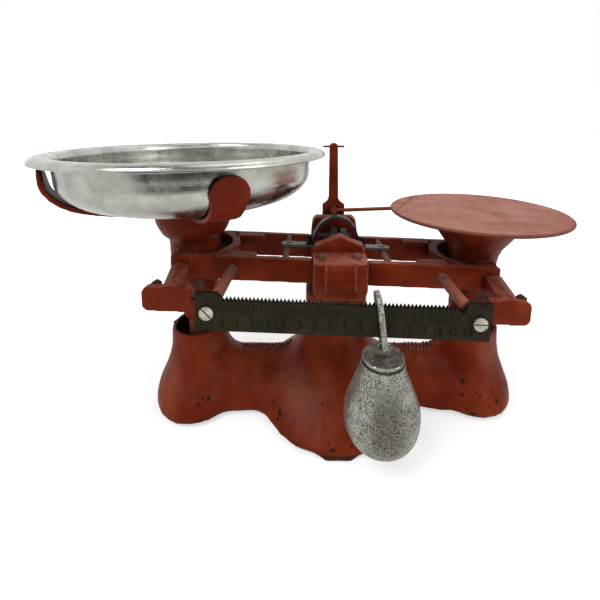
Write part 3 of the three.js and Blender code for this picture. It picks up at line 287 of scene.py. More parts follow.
def red_enamel(name, rubbed_and_highlit_edges, faded_tops, chips, rough=0.34, tone=0.0, marked=False,
               edge_window=(0.53, 0.6)):
    """Old red enamel. A tone fades it all over, and marked adds the base's painted highlights with haze,
    its chips, and painted shade inside the column mouths.
    """
    material, tree, shader = new_material(name)
    place = coordinates(tree)
    height = axes_of(tree, place)[2]
    colour = mixed(tree, patches(tree, place, 28 * MM, 5, (0.36, 0.66)), DEEP_RED, MID_RED)
    stain = patches(tree, moved(tree, place, (3, 1, 2)), 11 * MM, 6, (0.56, 0.8), 0.65)
    colour = painted(tree, colour, BROWN_RED, stain, 0.55)

    # Rubbed paint on sharp edges, on the blocks also a painted highlight, and on the faces that look up
    grain = noise_map(tree, place, 2.2 * MM, 5, 0.7)
    rubbed = times(tree, edges(tree, *edge_window), window(tree, grain, 0.35, 0.6), rubbed_and_highlit_edges)
    patchy = patches(tree, moved(tree, place, (7, 5, 1)), 7 * MM, 6, (0.32, 0.62), 0.7)
    worn = greater(tree, rubbed, times(tree, upward(tree, 0.7, 0.98), patchy, faded_tops))
    colour = painted(tree, colour, FADED_AND_HIGHLIGHT_RED, worn)
    if tone:
        all_over = patches(tree, moved(tree, place, (2, 2, 5)), 4 * MM, 6, (0.3, 0.55), 0.7)
        colour = painted(tree, colour, FADED_AND_HIGHLIGHT_RED, all_over, tone)
    if marked:
        # Painted highlights with dusty haze on the base's shoulders and columns
        for x, z, wide, high, share in HIGHLIGHTS_AND_HAZE:
            near = front_distance(tree, place, x * MM, z * MM, wide * MM, high * MM)
            sheen_and_haze = times(tree, window(tree, near, 1.0, 0.15), window(tree, grain, 0.15, 0.6))
            colour = painted(tree, colour, FADED_AND_HIGHLIGHT_RED, sheen_and_haze, share)

    # Chips down to dark iron, thickest near the floor
    low = window(tree, height, 60 * MM, 6 * MM)
    ragged = times(tree, noise_map(tree, moved(tree, place, (4, 4, 1)), 1.8 * MM, 3), 0.16)
    cluster = patches(tree, moved(tree, place, (1, 9, 4)), 15 * MM, 3, (0.5, 0.62))
    large = window(tree, plus(tree, cells(tree, place, 7 * MM), ragged), 0.27, 0.22)
    large = times(tree, large, cluster, low)
    few = patches(tree, moved(tree, place, (6, 2, 8)), 19 * MM, 3, (0.46, 0.6))
    tiny = plus(tree, cells(tree, moved(tree, place, (3, 3, 3)), 4.2 * MM), ragged)
    tiny = times(tree, window(tree, tiny, 0.19, 0.15), few, plus(tree, low, 0.3))
    chip = times(tree, greater(tree, large, tiny), chips)
    if marked:
        frayed = noise_map(tree, moved(tree, place, (9, 4, 7)), 1.3 * MM, 4, 0.7)
        for x, z, wide, high in CHIPS:
            half_sizes = (CHIP_WIDER * wide * MM, CHIP_HIGHER * high * MM)
            near = front_distance(tree, place, x * MM, z * MM, *half_sizes)
            near = maths(tree, "ADD", near, frayed, clamp=False)
            chip = greater(tree, chip, window(tree, near, 1.25, 0.95))
    colour = painted(tree, colour, BARE_IRON_AND_SHADE, chip)
    # Darker along the foot, in the lowest few millimetres
    colour = painted(tree, colour, BARE_IRON_AND_SHADE, window(tree, height, 5.2 * MM, 3.4 * MM), 0.8)

    # The rods are grey with grime where they meet the beam
    if tone:
        grimy = window(tree, axes_of(tree, place)[1], -48 * MM, -35 * MM)
        colour = painted(tree, colour, GRIMY_GREY, grimy, window(tree, grain, 0.25, 0.55), 0.85)

    # Painted shade from ambient occlusion, brown-red in corners and near-black in deep hollows, and inside
    # the column mouths
    colour = painted(tree, colour, BROWN_RED, crevices(tree, 9 * MM, 0.75, 0.25), 0.7)
    colour = painted(tree, colour, BARE_IRON_AND_SHADE, crevices(tree, 40 * MM, 0.42, 0.16), 0.92)
    if marked:
        deep = greater(tree, window(tree, height, 78 * MM, 66 * MM), 0.7)
        for knife in (LEFT_KNIFE, RIGHT_KNIFE):
            inside = window(tree, axis_distance(tree, place, knife.x, MOUTH_RADIUS), 1.0, 0.95)
            colour = painted(tree, colour, BARE_IRON_AND_SHADE, inside, deep)

    gloss = plus(tree, times(tree, worn, 0.25), rough)
    gloss = plus(tree, gloss, times(tree, chip, 0.3))
    gloss = plus(tree, gloss, times(tree, noise_map(tree, place, 9 * MM, 5), 0.14))
    finished(tree, shader, colour, gloss, specular=0.1)
    wave = times(tree, noise_map(tree, place, 3.5 * MM, 6, 0.6), 0.8)
    relief = minus(tree, plus(tree, wave, times(tree, grain, 0.2)), times(tree, chip, 0.6))
    bumped(tree, shader, relief, 0.35, 0.35 * MM)
    return material


# A crease across the plate's left edge
CREASE_DIRECTION = Vector((math.cos(math.radians(62)), math.sin(math.radians(62))))
CREASE_REACH = 54 * MM


def plate_paint(name):
    material, tree, shader = new_material(name)
    place = coordinates(tree)
    centre_x = RIGHT_KNIFE.x + PLATE_SHIFT
    cloud = patches(tree, place, 24 * MM, 6, (0.35, 0.68), 0.62)
    colour = mixed(tree, cloud, (0.405, 0.145, 0.093), (0.335, 0.106, 0.066))

    # Scuffs drawn out along the plate
    streak_place = moved(tree, place, (0, 0, 0), (1, 3.2, 1), (0, 0, 0.35))
    streak = patches(tree, streak_place, 9 * MM, 7, (0.53, 0.61), 0.72, 0.8)
    colour = painted(tree, colour, (0.27, 0.07, 0.042), streak, 0.75)
    pale_place = moved(tree, place, (4, 2, 0), (1, 2, 1), (0, 0, -0.4))
    pale = patches(tree, pale_place, 7 * MM, 7, (0.58, 0.7), 0.7)
    colour = painted(tree, colour, (0.50, 0.25, 0.19), pale, 0.55)
    nick_place = moved(tree, place, (2, 2, 0), (1, 2.6, 1), (0, 0, 0.3))
    nick = window(tree, cells(tree, nick_place, 9 * MM), 0.13, 0.07)
    nick = times(tree, nick, patches(tree, place, 13 * MM, 2, (0.48, 0.6)))
    colour = painted(tree, colour, (0.10, 0.03, 0.02), nick, 0.8)

    # A dark line along the crease: painted shade in the fold, and scuffed paint on the scar
    across = tree.nodes.new("ShaderNodeVectorMath")
    across.operation = "DOT_PRODUCT"
    across.inputs[1].default_value = (CREASE_DIRECTION.y, -CREASE_DIRECTION.x, 0)
    link(tree, moved(tree, place, (-centre_x, 0, 0)), across.inputs[0])
    aside = maths(tree, "ADD", across.outputs["Value"], CREASE_REACH, clamp=False)
    crease = window(tree, maths(tree, "ABSOLUTE", aside), 1.5 * MM, 0.5 * MM)
    colour = painted(tree, colour, (0.15, 0.035, 0.02), crease, 0.8)
    fleck_place = moved(tree, place, (1, 6, 0), (1, 2.4, 1), (0, 0, 0.5))
    fleck = patches(tree, fleck_place, 3.4 * MM, 7, (0.56, 0.62), 0.75)
    colour = painted(tree, colour, (0.16, 0.05, 0.03), fleck, 0.7)
    reach = reach_and_height(tree, place, centre_x)[0]
    rim = window(tree, reach, 63.4 * MM, 64.6 * MM)
    colour = painted(tree, colour, (0.17, 0.05, 0.032), rim, 0.8)
    colour = painted(tree, colour, DEEP_RED, upward(tree, 0.1, -0.5))

    finished(tree, shader, colour, plus(tree, times(tree, cloud, 0.15), 0.42), specular=0.15)
    worn = plus(tree, times(tree, streak, 0.25), times(tree, nick, 0.4))
    relief = minus(tree, noise_map(tree, place, 2.5 * MM, 6, 0.6), worn)
    bumped(tree, shader, relief, 0.35, 0.3 * MM)
    return material


def pan_metal(name):
    material, tree, shader = new_material(name)
    place = coordinates(tree)

    # Spinning marks run round the pan, so their noise is read by distance and height
    reach, height = reach_and_height(tree, place, LEFT_KNIFE.x + PAN_SHIFT)
    ring_place = tree.nodes.new("ShaderNodeCombineXYZ")
    link(tree, reach, ring_place.inputs[0])
    link(tree, height, ring_place.inputs[1])
    rings = noise_map(tree, ring_place.outputs[0], 0.9 * MM, 6, 0.75)

    cloud = patches(tree, place, 22 * MM, 6, (0.34, 0.7), 0.6)
    colour = mixed(tree, cloud, (0.55, 0.545, 0.505), (0.36, 0.36, 0.33))
    dark = patches(tree, moved(tree, place, (5, 1, 3)), 6 * MM, 7, (0.58, 0.72), 0.75)
    colour = painted(tree, colour, (0.26, 0.255, 0.235), dark, 0.5)
    speck = patches(tree, moved(tree, place, (8, 3, 3)), 1.2 * MM, 5, (0.56, 0.68), 0.75)
    colour = painted(tree, colour, (0.16, 0.155, 0.14), speck, 0.45)
    rough = patches(tree, place, 13 * MM, 7, (0.3, 0.7, 0.13, 0.35), 0.7)
    finished(tree, shader, colour, plus(tree, rough, times(tree, dark, 0.16)), metallic=1.0)

    grain = noise_map(tree, moved(tree, place, (2, 9, 4)), 1.5 * MM, 4, 0.7)
    swell = times(tree, noise_map(tree, place, 4 * MM, 5, 0.6), 0.35)
    relief = plus(tree, times(tree, rings, 0.3), plus(tree, swell, times(tree, grain, 0.35)))
    bumped(tree, shader, relief, 0.36, 0.25 * MM)
    return material


def silvered_iron(name):
    material, tree, shader = new_material(name)
    place = coordinates(tree)
    cloud = patches(tree, place, 12 * MM, 6, (0.35, 0.7), 0.6)
    colour = mixed(tree, cloud, (0.52, 0.515, 0.465), (0.38, 0.365, 0.31))
    stain = patches(tree, moved(tree, place, (2, 7, 1)), 7 * MM, 6, (0.5, 0.75), 0.7)
    colour = painted(tree, colour, (0.22, 0.19, 0.13), stain, 0.5)

    # A painted dark reflection low on the front, where the pits gather too, and darker patches on the
    # disc's top
    reflection_and_pit_belly = front_distance(tree, place, 43.5 * MM, 44 * MM, 17 * MM, 26 * MM)
    reflection_and_pit_belly = window(tree, reflection_and_pit_belly, 1.0, 0.3)
    colour = painted(tree, colour, (0.14, 0.118, 0.07), reflection_and_pit_belly, 0.65)
    dark_lid_patches = patches(tree, moved(tree, place, (5, 5, 5)), 3 * MM, 6, (0.38, 0.6), 0.75)
    colour = painted(tree, colour, (0.075, 0.062, 0.036), upward(tree, 0.8, 0.95), dark_lid_patches, 0.5)

    # Pits in groups, most of them on the belly
    group = patches(tree, moved(tree, place, (3, 3, 9)), 8 * MM, 5, (0.3, 0.52, 0.3, 1.0))
    group = greater(tree, group, reflection_and_pit_belly)
    ragged = times(tree, noise_map(tree, moved(tree, place, (1, 1, 4)), 0.8 * MM, 3), 0.3)
    coarse = window(tree, plus(tree, cells(tree, place, 1.2 * MM), ragged), 0.5, 0.4)
    spots = patches(tree, place, 1.0 * MM, 5, (0.51, 0.55), 0.78)
    pit = times(tree, greater(tree, coarse, times(tree, spots, 0.9)), group)
    colour = painted(tree, colour, (0.016, 0.013, 0.008), pit, 0.94)
    # Painted shade in the creases, from ambient occlusion
    colour = painted(tree, colour, (0.035, 0.028, 0.02), crevices(tree, 3 * MM, 0.75, 0.3), 0.9)

    finished(tree, shader, colour, plus(tree, times(tree, pit, 0.3), 0.3), metallic=0.75)
    relief = minus(tree, noise_map(tree, place, 2.6 * MM, 5, 0.6), times(tree, pit, 0.7))
    bumped(tree, shader, relief, 0.45, 0.3 * MM)
    return material


def dark_brass(name):
    material, tree, shader = new_material(name)
    place = coordinates(tree)
    cloud = patches(tree, place, 14 * MM, 6, (0.35, 0.7), 0.65)
    colour = mixed(tree, cloud, (0.017, 0.0135, 0.0065), (0.031, 0.025, 0.012))
    brushed = noise_map(tree, moved(tree, place, (0, 0, 0), (9, 1, 0.5)), 2.4 * MM, 5, 0.7)
    colour = painted(tree, colour, (0.065, 0.056, 0.032), window(tree, brushed, 0.5, 0.72))
    # Painted shade in the stamped ticks and numbers, from ambient occlusion
    stamp_shade = crevices(tree, 1.2 * MM, 0.85, 0.35)
    colour = painted(tree, colour, (0.003, 0.003, 0.002), stamp_shade, 0.9)
    fleck = patches(tree, moved(tree, place, (3, 7, 5)), 1.6 * MM, 6, (0.64, 0.72), 0.75)
    colour = painted(tree, colour, (0.14, 0.125, 0.085), fleck, 0.5)
    rough = window(tree, brushed, 0.3, 0.7, 0.38, 0.6)
    finished(tree, shader, colour, rough, metallic=0.4, specular=0.15)
    bumped(tree, shader, brushed, 0.2, 0.15 * MM)
    return material


def old_metal(name, light, dark, rough, metallic, rust=0.3):
    material, tree, shader = new_material(name)
    place = coordinates(tree)
    colour = mixed(tree, patches(tree, place, 5 * MM, 6, (0.35, 0.68), 0.65), light, dark)
    spots = patches(tree, moved(tree, place, (6, 2, 4)), 2 * MM, 5, (0.56, 0.68), 0.7)
    colour = painted(tree, colour, (0.07, 0.04, 0.025), spots, rust)
    # Painted shade in corners and hollows, from ambient occlusion
    colour = painted(tree, colour, (0.02, 0.016, 0.012), crevices(tree, 3 * MM, 0.7, 0.25), 0.6)
    uneven = patches(tree, place, 3 * MM, 5, (0.3, 0.7, rough - 0.1, rough + 0.15))
    finished(tree, shader, colour, uneven, metallic=metallic)
    bumped(tree, shader, noise_map(tree, place, 1.2 * MM, 5, 0.65), 0.25, 0.12 * MM)
    return material


base_red = red_enamel("base_enamel", rubbed_and_highlit_edges=0.8, faded_tops=0.2, chips=0.5, marked=True)
red = red_enamel("red_enamel", rubbed_and_highlit_edges=0.8, faded_tops=0.35, chips=0.5)
beam_red = red_enamel("beam_enamel", rubbed_and_highlit_edges=0.9, faded_tops=0.85, chips=0.35, rough=0.36)
# The blocks' low edge window paints highlights along their edges as well as rubbed paint
block_red = red_enamel("block_enamel", rubbed_and_highlit_edges=1.0, faded_tops=0.9, chips=0.3, rough=0.27,
                       edge_window=(0.502, 0.53))
rod_red = red_enamel("rubbed_enamel", rubbed_and_highlit_edges=1.0, faded_tops=1.0, chips=0.3, rough=0.42, tone=0.9)
worn_plate = plate_paint("plate_enamel")
aluminium = pan_metal("spun_aluminium")
silver = silvered_iron("silvered_iron")
brass = dark_brass("dark_brass")
black_steel = old_metal("black_steel", (0.045, 0.045, 0.042), (0.02, 0.02, 0.019), 0.42, 0.6)
grey_steel = old_metal("grey_steel", (0.20, 0.205, 0.185), (0.12, 0.12, 0.105), 0.5, 0.6)
rusty = old_metal("rusty_iron", (0.085, 0.036, 0.022), (0.040, 0.019, 0.013), 0.55, 0.2, 0.6)
nickel = old_metal("worn_nickel", (0.62, 0.58, 0.48), (0.36, 0.33, 0.26), 0.3, 0.9, 0.15)


# Mesh building blocks
RELAX_GAIN = 0.5
RELAX_RETURN = -0.46
QUARTER_TURN = Matrix.Rotation(math.radians(90), 4, "X")
ONE_SUBDIVISION = {"levels": 1, "render_levels": 1}


def add_object(name, mesh, material, body, replaced):
    mesh.materials.clear()
    mesh.materials.append(material)
    obj = bpy.data.objects.new(name, mesh)
    scene.collection.objects.link(obj)
    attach(obj, body)
    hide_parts(*replaced)
    return obj


def shade(mesh, angle=None):
    """Smooth shading, with edges sharper than the angle in degrees left hard."""
    mesh.polygons.foreach_set("use_smooth", [True] * len(mesh.polygons))
    if angle is not None:
        mesh.set_sharp_from_angle(angle=math.radians(angle))
    mesh.update()


def mesh_from(bm, name):
    mesh = bpy.data.meshes.new(name)
    bm.to_mesh(mesh)
    bm.free()
    return mesh


def evaluated(obj):
    bpy.context.view_layer.update()
    graph = bpy.context.evaluated_depsgraph_get()
    return bpy.data.meshes.new_from_object(obj.evaluated_get(graph))


def with_modifiers(mesh, *steps):
    obj = bpy.data.objects.new("work", mesh)
    scene.collection.objects.link(obj)
    for kind, settings in steps:
        modifier = obj.modifiers.new(kind.lower(), kind)
        for key, value in settings.items():
            setattr(modifier, key, value)
    result = evaluated(obj)
    bpy.data.objects.remove(obj)
    return result


def remeshed(mesh, voxel):
    return with_modifiers(mesh, ("REMESH", {"mode": "VOXEL", "voxel_size": voxel}))


def vertex_rows(mesh, key):
    rows = np.empty(len(mesh.vertices) * 3)
    mesh.vertices.foreach_get(key, rows)
    return rows.reshape(-1, 3)


def coords_of(mesh):
    return vertex_rows(mesh, "co")


def normals_of(mesh):
    return vertex_rows(mesh, "normal")


def set_coords(mesh, co):
    mesh.vertices.foreach_set("co", co.ravel())
    mesh.update()


def relaxed(mesh, rounds):
    """Averages each vertex with its neighbours, with a slightly smaller push back after each step."""
    co = coords_of(mesh)
    pairs = np.empty(len(mesh.edges) * 2, dtype=np.int64)
    mesh.edges.foreach_get("vertices", pairs)
    a, b = pairs[0::2], pairs[1::2]
    count = len(co)
    degree = np.bincount(a, minlength=count) + np.bincount(b, minlength=count)
    for gain in (RELAX_GAIN, RELAX_RETURN) * rounds:
        mean = np.empty_like(co)
        for k in range(3):
            total = np.bincount(a, weights=co[b, k], minlength=count)
            total += np.bincount(b, weights=co[a, k], minlength=count)
            mean[:, k] = total / degree
        co = co + (mean - co) * gain
    set_coords(mesh, co)


def roughened(mesh, amount, size, seed):
    """Moves each vertex along its normal by smooth noise, as a sand casting's skin."""
    co = coords_of(mesh)
    normals = normals_of(mesh)
    offset = Vector((seed, seed * 0.7, seed * 1.3))
    push = np.array([noise.noise(Vector(v) / size + offset) for v in co])
    set_coords(mesh, co + normals * (push * amount)[:, None])


def wave_at(point, size, layer):
    """Smooth noise over x and y, with waves of about the size. Each layer has waves of its own."""
    return noise.noise(Vector((point[0] / size[0], point[1] / size[1], layer)))


def cast(name, node, voxel, rounds, material, body, skin=0.12 * MM, form=None):
    """The node's solid with its edges rounded off and the skin of a casting."""
    mesh = remeshed(nodes[node].data.copy(), voxel)
    if form:
        set_coords(mesh, form(coords_of(mesh)))
    relaxed(mesh, rounds)
    roughened(mesh, skin, 6 * MM, len(name))
    shade(mesh)
    return add_object(name, mesh, material, body, (node,))


def turned(profile, steps, centre):
    """A body of revolution about the upright axis through centre, from points of radius and height.

    The profile starts and ends on the axis, so the body is closed.
    """
    angles = np.linspace(0, 2 * math.pi, steps, endpoint=False)
    bm = bmesh.new()
    rows = []
    for r, z in np.array(profile):
        if r <= 0:
            around = [(centre[0], centre[1], centre[2] + z)]
        else:
            around = [(centre[0] + r * math.cos(t), centre[1] + r * math.sin(t), centre[2] + z)
                      for t in angles]
        rows.append([bm.verts.new(point) for point in around])
    for low, high in zip(rows, rows[1:]):
        for i in range(steps):
            j = (i + 1) % steps
            if len(low) == 1:
                bm.faces.new((low[0], high[i], high[j]))
            elif len(high) == 1:
                bm.faces.new((low[i], high[0], low[j]))
            else:
                bm.faces.new((low[i], high[i], high[j], low[j]))
    bmesh.ops.recalc_face_normals(bm, faces=bm.faces)
    return mesh_from(bm, "turned")


def spline(points, steps):
    """A smooth curve through the points, in cubic pieces that run level with their neighbours."""
    p = [np.array(q, float) for q in points]
    p = [2 * p[0] - p[1], *p, 2 * p[-1] - p[-2]]
    out = []
    for i in range(1, len(p) - 2):
        for k in range(steps):
            t = k / steps
            out.append(0.5 * (2 * p[i] + (p[i + 1] - p[i - 1]) * t
                              + (2 * p[i - 1] - 5 * p[i] + 4 * p[i + 1] - p[i + 2]) * t * t
                              + (3 * p[i] - p[i - 1] - 3 * p[i + 1] + p[i + 2]) * t ** 3))
    out.append(p[-2])
    return [tuple(q) for q in out]


def placed(mesh, matrix):
    mesh.transform(matrix)
    mesh.update()
    return mesh


def joined(*meshes):
    bm = bmesh.new()
    for mesh in meshes:
        bm.from_mesh(mesh)
    return mesh_from(bm, "joined")


def welded(mesh):
    """Joins the vertices that an import or a text outline leaves split, so that the body is closed."""
    bm = bmesh.new()
    bm.from_mesh(mesh)
    bmesh.ops.remove_doubles(bm, verts=bm.verts, dist=0.002 * MM)
    bmesh.ops.recalc_face_normals(bm, faces=bm.faces)
    bm.to_mesh(mesh)
    bm.free()
    return mesh


def cut(mesh, cutter):
    welded(mesh)
    tool = bpy.data.objects.new("cutter", cutter)
    scene.collection.objects.link(tool)
    settings = {"operation": "DIFFERENCE", "object": tool, "solver": "EXACT"}
    result = with_modifiers(mesh, ("BOOLEAN", settings))
    bpy.data.objects.remove(tool)
    return result


def block(low, high):
    bm = bmesh.new()
    bmesh.ops.create_cube(bm, size=1)
    mesh = mesh_from(bm, "block")
    low, high = Vector(low), Vector(high)
    size = high - low
    return placed(mesh, Matrix.Translation((low + high) / 2) @ Matrix.Diagonal((*size, 1)))


# Base casting: swelling the solid, remeshing it and drawing it back rounds the hollows between
# its lobes, as in the sand mould, and leaves the round forms as they were
BASE_VOXEL = 2.0 * MM
FILLET = 9 * MM
FLARE = 1.1 * MM
FLARE_HEIGHT = 34 * MM

# The base's low parts are eased below this height. Places across are measured from the fulcrum
EASED_HEIGHT = 62 * MM
LOBE_START = 60 * MM
LOBE_BLEND = 35 * MM
LEFT_LOBE_IN = 2.6 * MM
LEFT_LOBE_DEEPER = 0.05
RIGHT_LOBE_IN = 2.2 * MM
FLANK_X = -50 * MM
FLANK_HALF = 20 * MM
FLANK_IN = 3.0 * MM
SADDLE_X = 56 * MM
SADDLE_HALF = 26 * MM
SADDLE_BACK = 0.15

# Beads on the ridges, in millimetres where a size isn't times MM. Each ridge has its direction, its
# first bead's distance from the fulcrum and the number of beads in its back row. The rows have
# their places in y, from the back
BEAD_RADIUS = 1.5 * MM
BEAD_RIDGES = ((-1, 37, 14), (1, 40, 16))
BEAD_ROWS = (8.2, 4.9, 1.6, -1.7)
BEAD_STEP = 3.15
BEAD_ROW_SHIFT = 1.6
BEAD_STRAY_ALONG = 0.8
BEAD_STRAY_ACROSS = 0.9
BEAD_SCALE = (0.9, 1.05, 1.3)
RIDGE_TOP = 50 * MM
ABOVE_ALL = 200 * MM


def swollen(mesh, distance):
    set_coords(mesh, coords_of(mesh) + normals_of(mesh) * distance)


def ridge_beads(mesh):
    """Rows of cast beads along the crest of each ridge, dropped onto the skin."""
    tree = BVHTree.FromPolygons([v.co for v in mesh.vertices], [p.vertices for p in mesh.polygons])
    down = Vector((0, 0, -1))
    bm = bmesh.new()
    for side, first, count in BEAD_RIDGES:
        for row, y in enumerate(BEAD_ROWS):
            for i in range(count - row):
                stray = noise.noise(Vector((i * 1.7, y, side * 3.1)))
                along = first + row * BEAD_ROW_SHIFT + i * BEAD_STEP + stray * BEAD_STRAY_ALONG
                above = Vector((FULCRUM.x + side * along * MM, (y + stray * BEAD_STRAY_ACROSS) * MM,
                                ABOVE_ALL))
                hit = tree.ray_cast(above, down)[0]
                if hit is None or hit.z > RIDGE_TOP:
                    continue
                tall = 1 + 0.5 * noise.noise(Vector((i * 2.3, y * 3, 2.0 + side)))
                scale = (BEAD_SCALE[0], BEAD_SCALE[1] * tall, BEAD_SCALE[2] * tall, 1)
                place = Matrix.Translation(hit) @ Matrix.Diagonal(scale)
                bmesh.ops.create_icosphere(bm, subdivisions=2, radius=BEAD_RADIUS, matrix=place)
    return mesh_from(bm, "beads")


def eased(t):
    t = np.clip(t, 0, 1)
    return t * t * (3 - 2 * t)


def peak(across, middle, half):
    return np.maximum(0, 1 - np.abs(across - middle) / half)


def settled(co):
    """Eases the lobes' and the hub's low parts to the outline that the casting shows at the floor."""
    out = co.copy()
    low = 1 - eased(co[:, 2] / EASED_HEIGHT)
    front = low * (co[:, 1] < 0)
    across = co[:, 0] - FULCRUM.x
    left = eased((-LOBE_START - across) / LOBE_BLEND) * low
    right = eased((across - LOBE_START) / LOBE_BLEND) * low
    flank = peak(across, FLANK_X, FLANK_HALF) * front
    saddle = peak(across, SADDLE_X, SADDLE_HALF) * front
    out[:, 0] += LEFT_LOBE_IN * left - RIGHT_LOBE_IN * right + FLANK_IN * flank
    out[:, 1] *= 1 + LEFT_LOBE_DEEPER * left - SADDLE_BACK * saddle
    return out


def base():
    mesh = remeshed(nodes["base_casting"].data.copy(), BASE_VOXEL)
    relaxed(mesh, 5)
    swollen(mesh, FILLET)
    mesh = remeshed(mesh, BASE_VOXEL)
    relaxed(mesh, 6)
    swollen(mesh, -FILLET)
    relaxed(mesh, 10)
    finer = with_modifiers(mesh, ("SUBSURF", ONE_SUBDIVISION))
    co = coords_of(finer)
    near_floor = np.clip(1 - co[:, 2] / FLARE_HEIGHT, 0, 1) * FLARE
    outward = normals_of(finer) * near_floor[:, None]
    outward[:, 2] = 0
    set_coords(finer, settled(co + outward))
    roughened(finer, 0.3 * MM, 14 * MM, 5)
    roughened(finer, 0.1 * MM, 4 * MM, 9)
    whole = joined(finer, ridge_beads(finer))
    shade(whole)
    return add_object("cast_base", whole, base_red, "base", ("base_casting",))


# Front block: its flanks and those of the housing on it are drawn back beside a flat middle
FRONT_BLOCK_X = FULCRUM.x + 1.9 * MM
BLOCK_TOP = FULCRUM.z + 11.5 * MM
BLOCK_BLEND = 0.5 * MM
HOUSING_BACK_LIMIT = 6 * MM


def drawn_back(co, start, reach, middle_half, slope):
    """How far each point beside the middle goes back. It fades in over reach in front of start."""
    aside = np.abs(co[:, 0] - FRONT_BLOCK_X)
    return np.clip((start - co[:, 1]) / reach, 0, 1) * np.maximum(0, aside - middle_half) * slope


def bowed(co):
    lower = drawn_back(co, -31 * MM, 10 * MM, 12 * MM, 0.42)
    upper = np.minimum(drawn_back(co, -26 * MM, 8 * MM, 10.5 * MM, 0.8), HOUSING_BACK_LIMIT)
    co[:, 1] += np.where(co[:, 2] < BLOCK_TOP - BLOCK_BLEND, lower, upper)
    return co


base()
cast("cast_front_block", "front_fulcrum_block", 0.7 * MM, 4, block_red, "base", form=bowed)
cast("cast_rear_block", "rear_fulcrum_block", 0.8 * MM, 4, block_red, "base")
cast("cast_tower", "tower", 0.55 * MM, 4, red, "base")
cast("cast_beam", "beam_frame", 0.9 * MM, 3, beam_red, "beam")
cast("cast_left_bracket", "left_scale_bracket", 0.6 * MM, 5, beam_red, "beam")
cast("cast_right_bracket", "right_scale_bracket", 0.6 * MM, 5, beam_red, "beam")
cast("cast_cradle", "left_cradle", 0.9 * MM, 6, red, "left_support")


# Pan
ROUND_STEPS = 192
PAN_RADIUS = 101.6 * MM
PAN_RIM = 82.6 * MM
PAN_DEPTH = 42.3 * MM
PAN_WALL = 1.5 * MM
PAN_FLAT = 31 * MM
PAN_FLAT_RINGS = 6
PAN_LIP = 11.8 * MM
PAN_LIP_DROP = 4.6 * MM
PAN_OFFSET = Vector((PAN_SHIFT, 0, 0))
PAN_SWELL_SIZE = (35 * MM, 35 * MM)
PAN_SWELL = 0.32 * MM
PAN_RIPPLE_SIZE = (12 * MM, 12 * MM)
PAN_RIPPLE = 0.1 * MM
PAN_SAG = 0.3 * MM

# The wall's line, as shares of its spread beyond the flat and of the depth
PAN_SHARES = [
    (0, 0), (0.24, 0.025), (0.5, 0.09), (0.79, 0.22), (0.965, 0.45), (0.995, 0.71),
    (1, 1 - PAN_LIP_DROP / PAN_DEPTH),
]

# The lip's line, as shares of its width and of its drop
LIP_SHARES = [
    (0.1, 0.36), (0.3, 0.56), (0.55, 0.6), (0.78, 0.42), (0.9, 0.12), (0.95, 0), (1, 0.1),
    (0.97, 0.42), (0.84, 0.78), (0.6, 0.98), (0.4, 1), (0.14, 0.9), (-0.04, 0.66),
]


def offset_line(points, distance):
    """The line of points of radius and height, moved sideways by the distance."""
    out = []
    for i, (r, z) in enumerate(points):
        ahead = points[min(i + 1, len(points) - 1)]
        behind = points[max(i - 1, 0)]
        along = Vector((ahead[0] - behind[0], ahead[1] - behind[1])).normalized()
        out.append((r + along.y * distance, z - along.x * distance))
    return out


def pan():
    wall_radius = PAN_RADIUS - PAN_LIP
    wall_top = PAN_RIM - PAN_LIP_DROP
    floor_height = PAN_RIM - PAN_DEPTH
    spread = wall_radius - PAN_FLAT
    outer = spline([(PAN_FLAT + spread * a, floor_height + PAN_DEPTH * b) for a, b in PAN_SHARES], 6)
    inner = offset_line(outer, -PAN_WALL)
    lip_points = [(wall_radius + PAN_LIP * a, wall_top + PAN_LIP_DROP * b) for a, b in LIP_SHARES]
    lip = spline([outer[-1], *lip_points, inner[-1]], 4)
    rings = [PAN_FLAT * k / PAN_FLAT_RINGS for k in range(PAN_FLAT_RINGS)]
    flat = [(r, floor_height) for r in rings]
    inside = [(r, floor_height + PAN_WALL) for r in reversed(rings)]
    profile = [*flat, *outer, *lip[1:], *reversed(inner[:-1]), *inside]
    mesh = turned(profile, ROUND_STEPS, LEFT_KNIFE + PAN_OFFSET)
    co = coords_of(mesh)
    for i, v in enumerate(co):
        swell = wave_at(v, PAN_SWELL_SIZE, 3.3)
        ripple = wave_at(v, PAN_RIPPLE_SIZE, 8.1)
        co[i, 2] = v[2] + (PAN_SWELL * swell + PAN_RIPPLE * ripple - PAN_SAG)
    set_coords(mesh, co)
    shade(mesh, 50)
    return add_object("spun_pan", mesh, aluminium, "pan", ("pan",))


# Trumpet and plate
PLATE_RADIUS = 65.3 * MM
PLATE_OFFSET = Vector((PLATE_SHIFT, 0, 0))
PLATE_TOP = 44.4 * MM
PLATE_THICK = 2.5 * MM
PLATE_EDGE_STEPS = 8
PLATE_UNDER_RINGS = 14
PLATE_TOP_RINGS = 40
TOP_FACE_SHARE = 0.98

# The plate's top is dented and sinks a little, all but its edge
DENT_MARGIN = 3 * MM
DENT_FADE = 6 * MM
WIDE_DENT_SIZE = (22 * MM, 30 * MM)
WIDE_DENT = 0.16 * MM
SMALL_DENT_SIZE = (8 * MM, 14 * MM)
SMALL_DENT = 0.07 * MM
TOP_SINK = 0.22 * MM
TOP_SKIN = 0.4 * MM
CREASE_HALF = 1.1 * MM
CREASE_DEPTH = 0.6 * MM


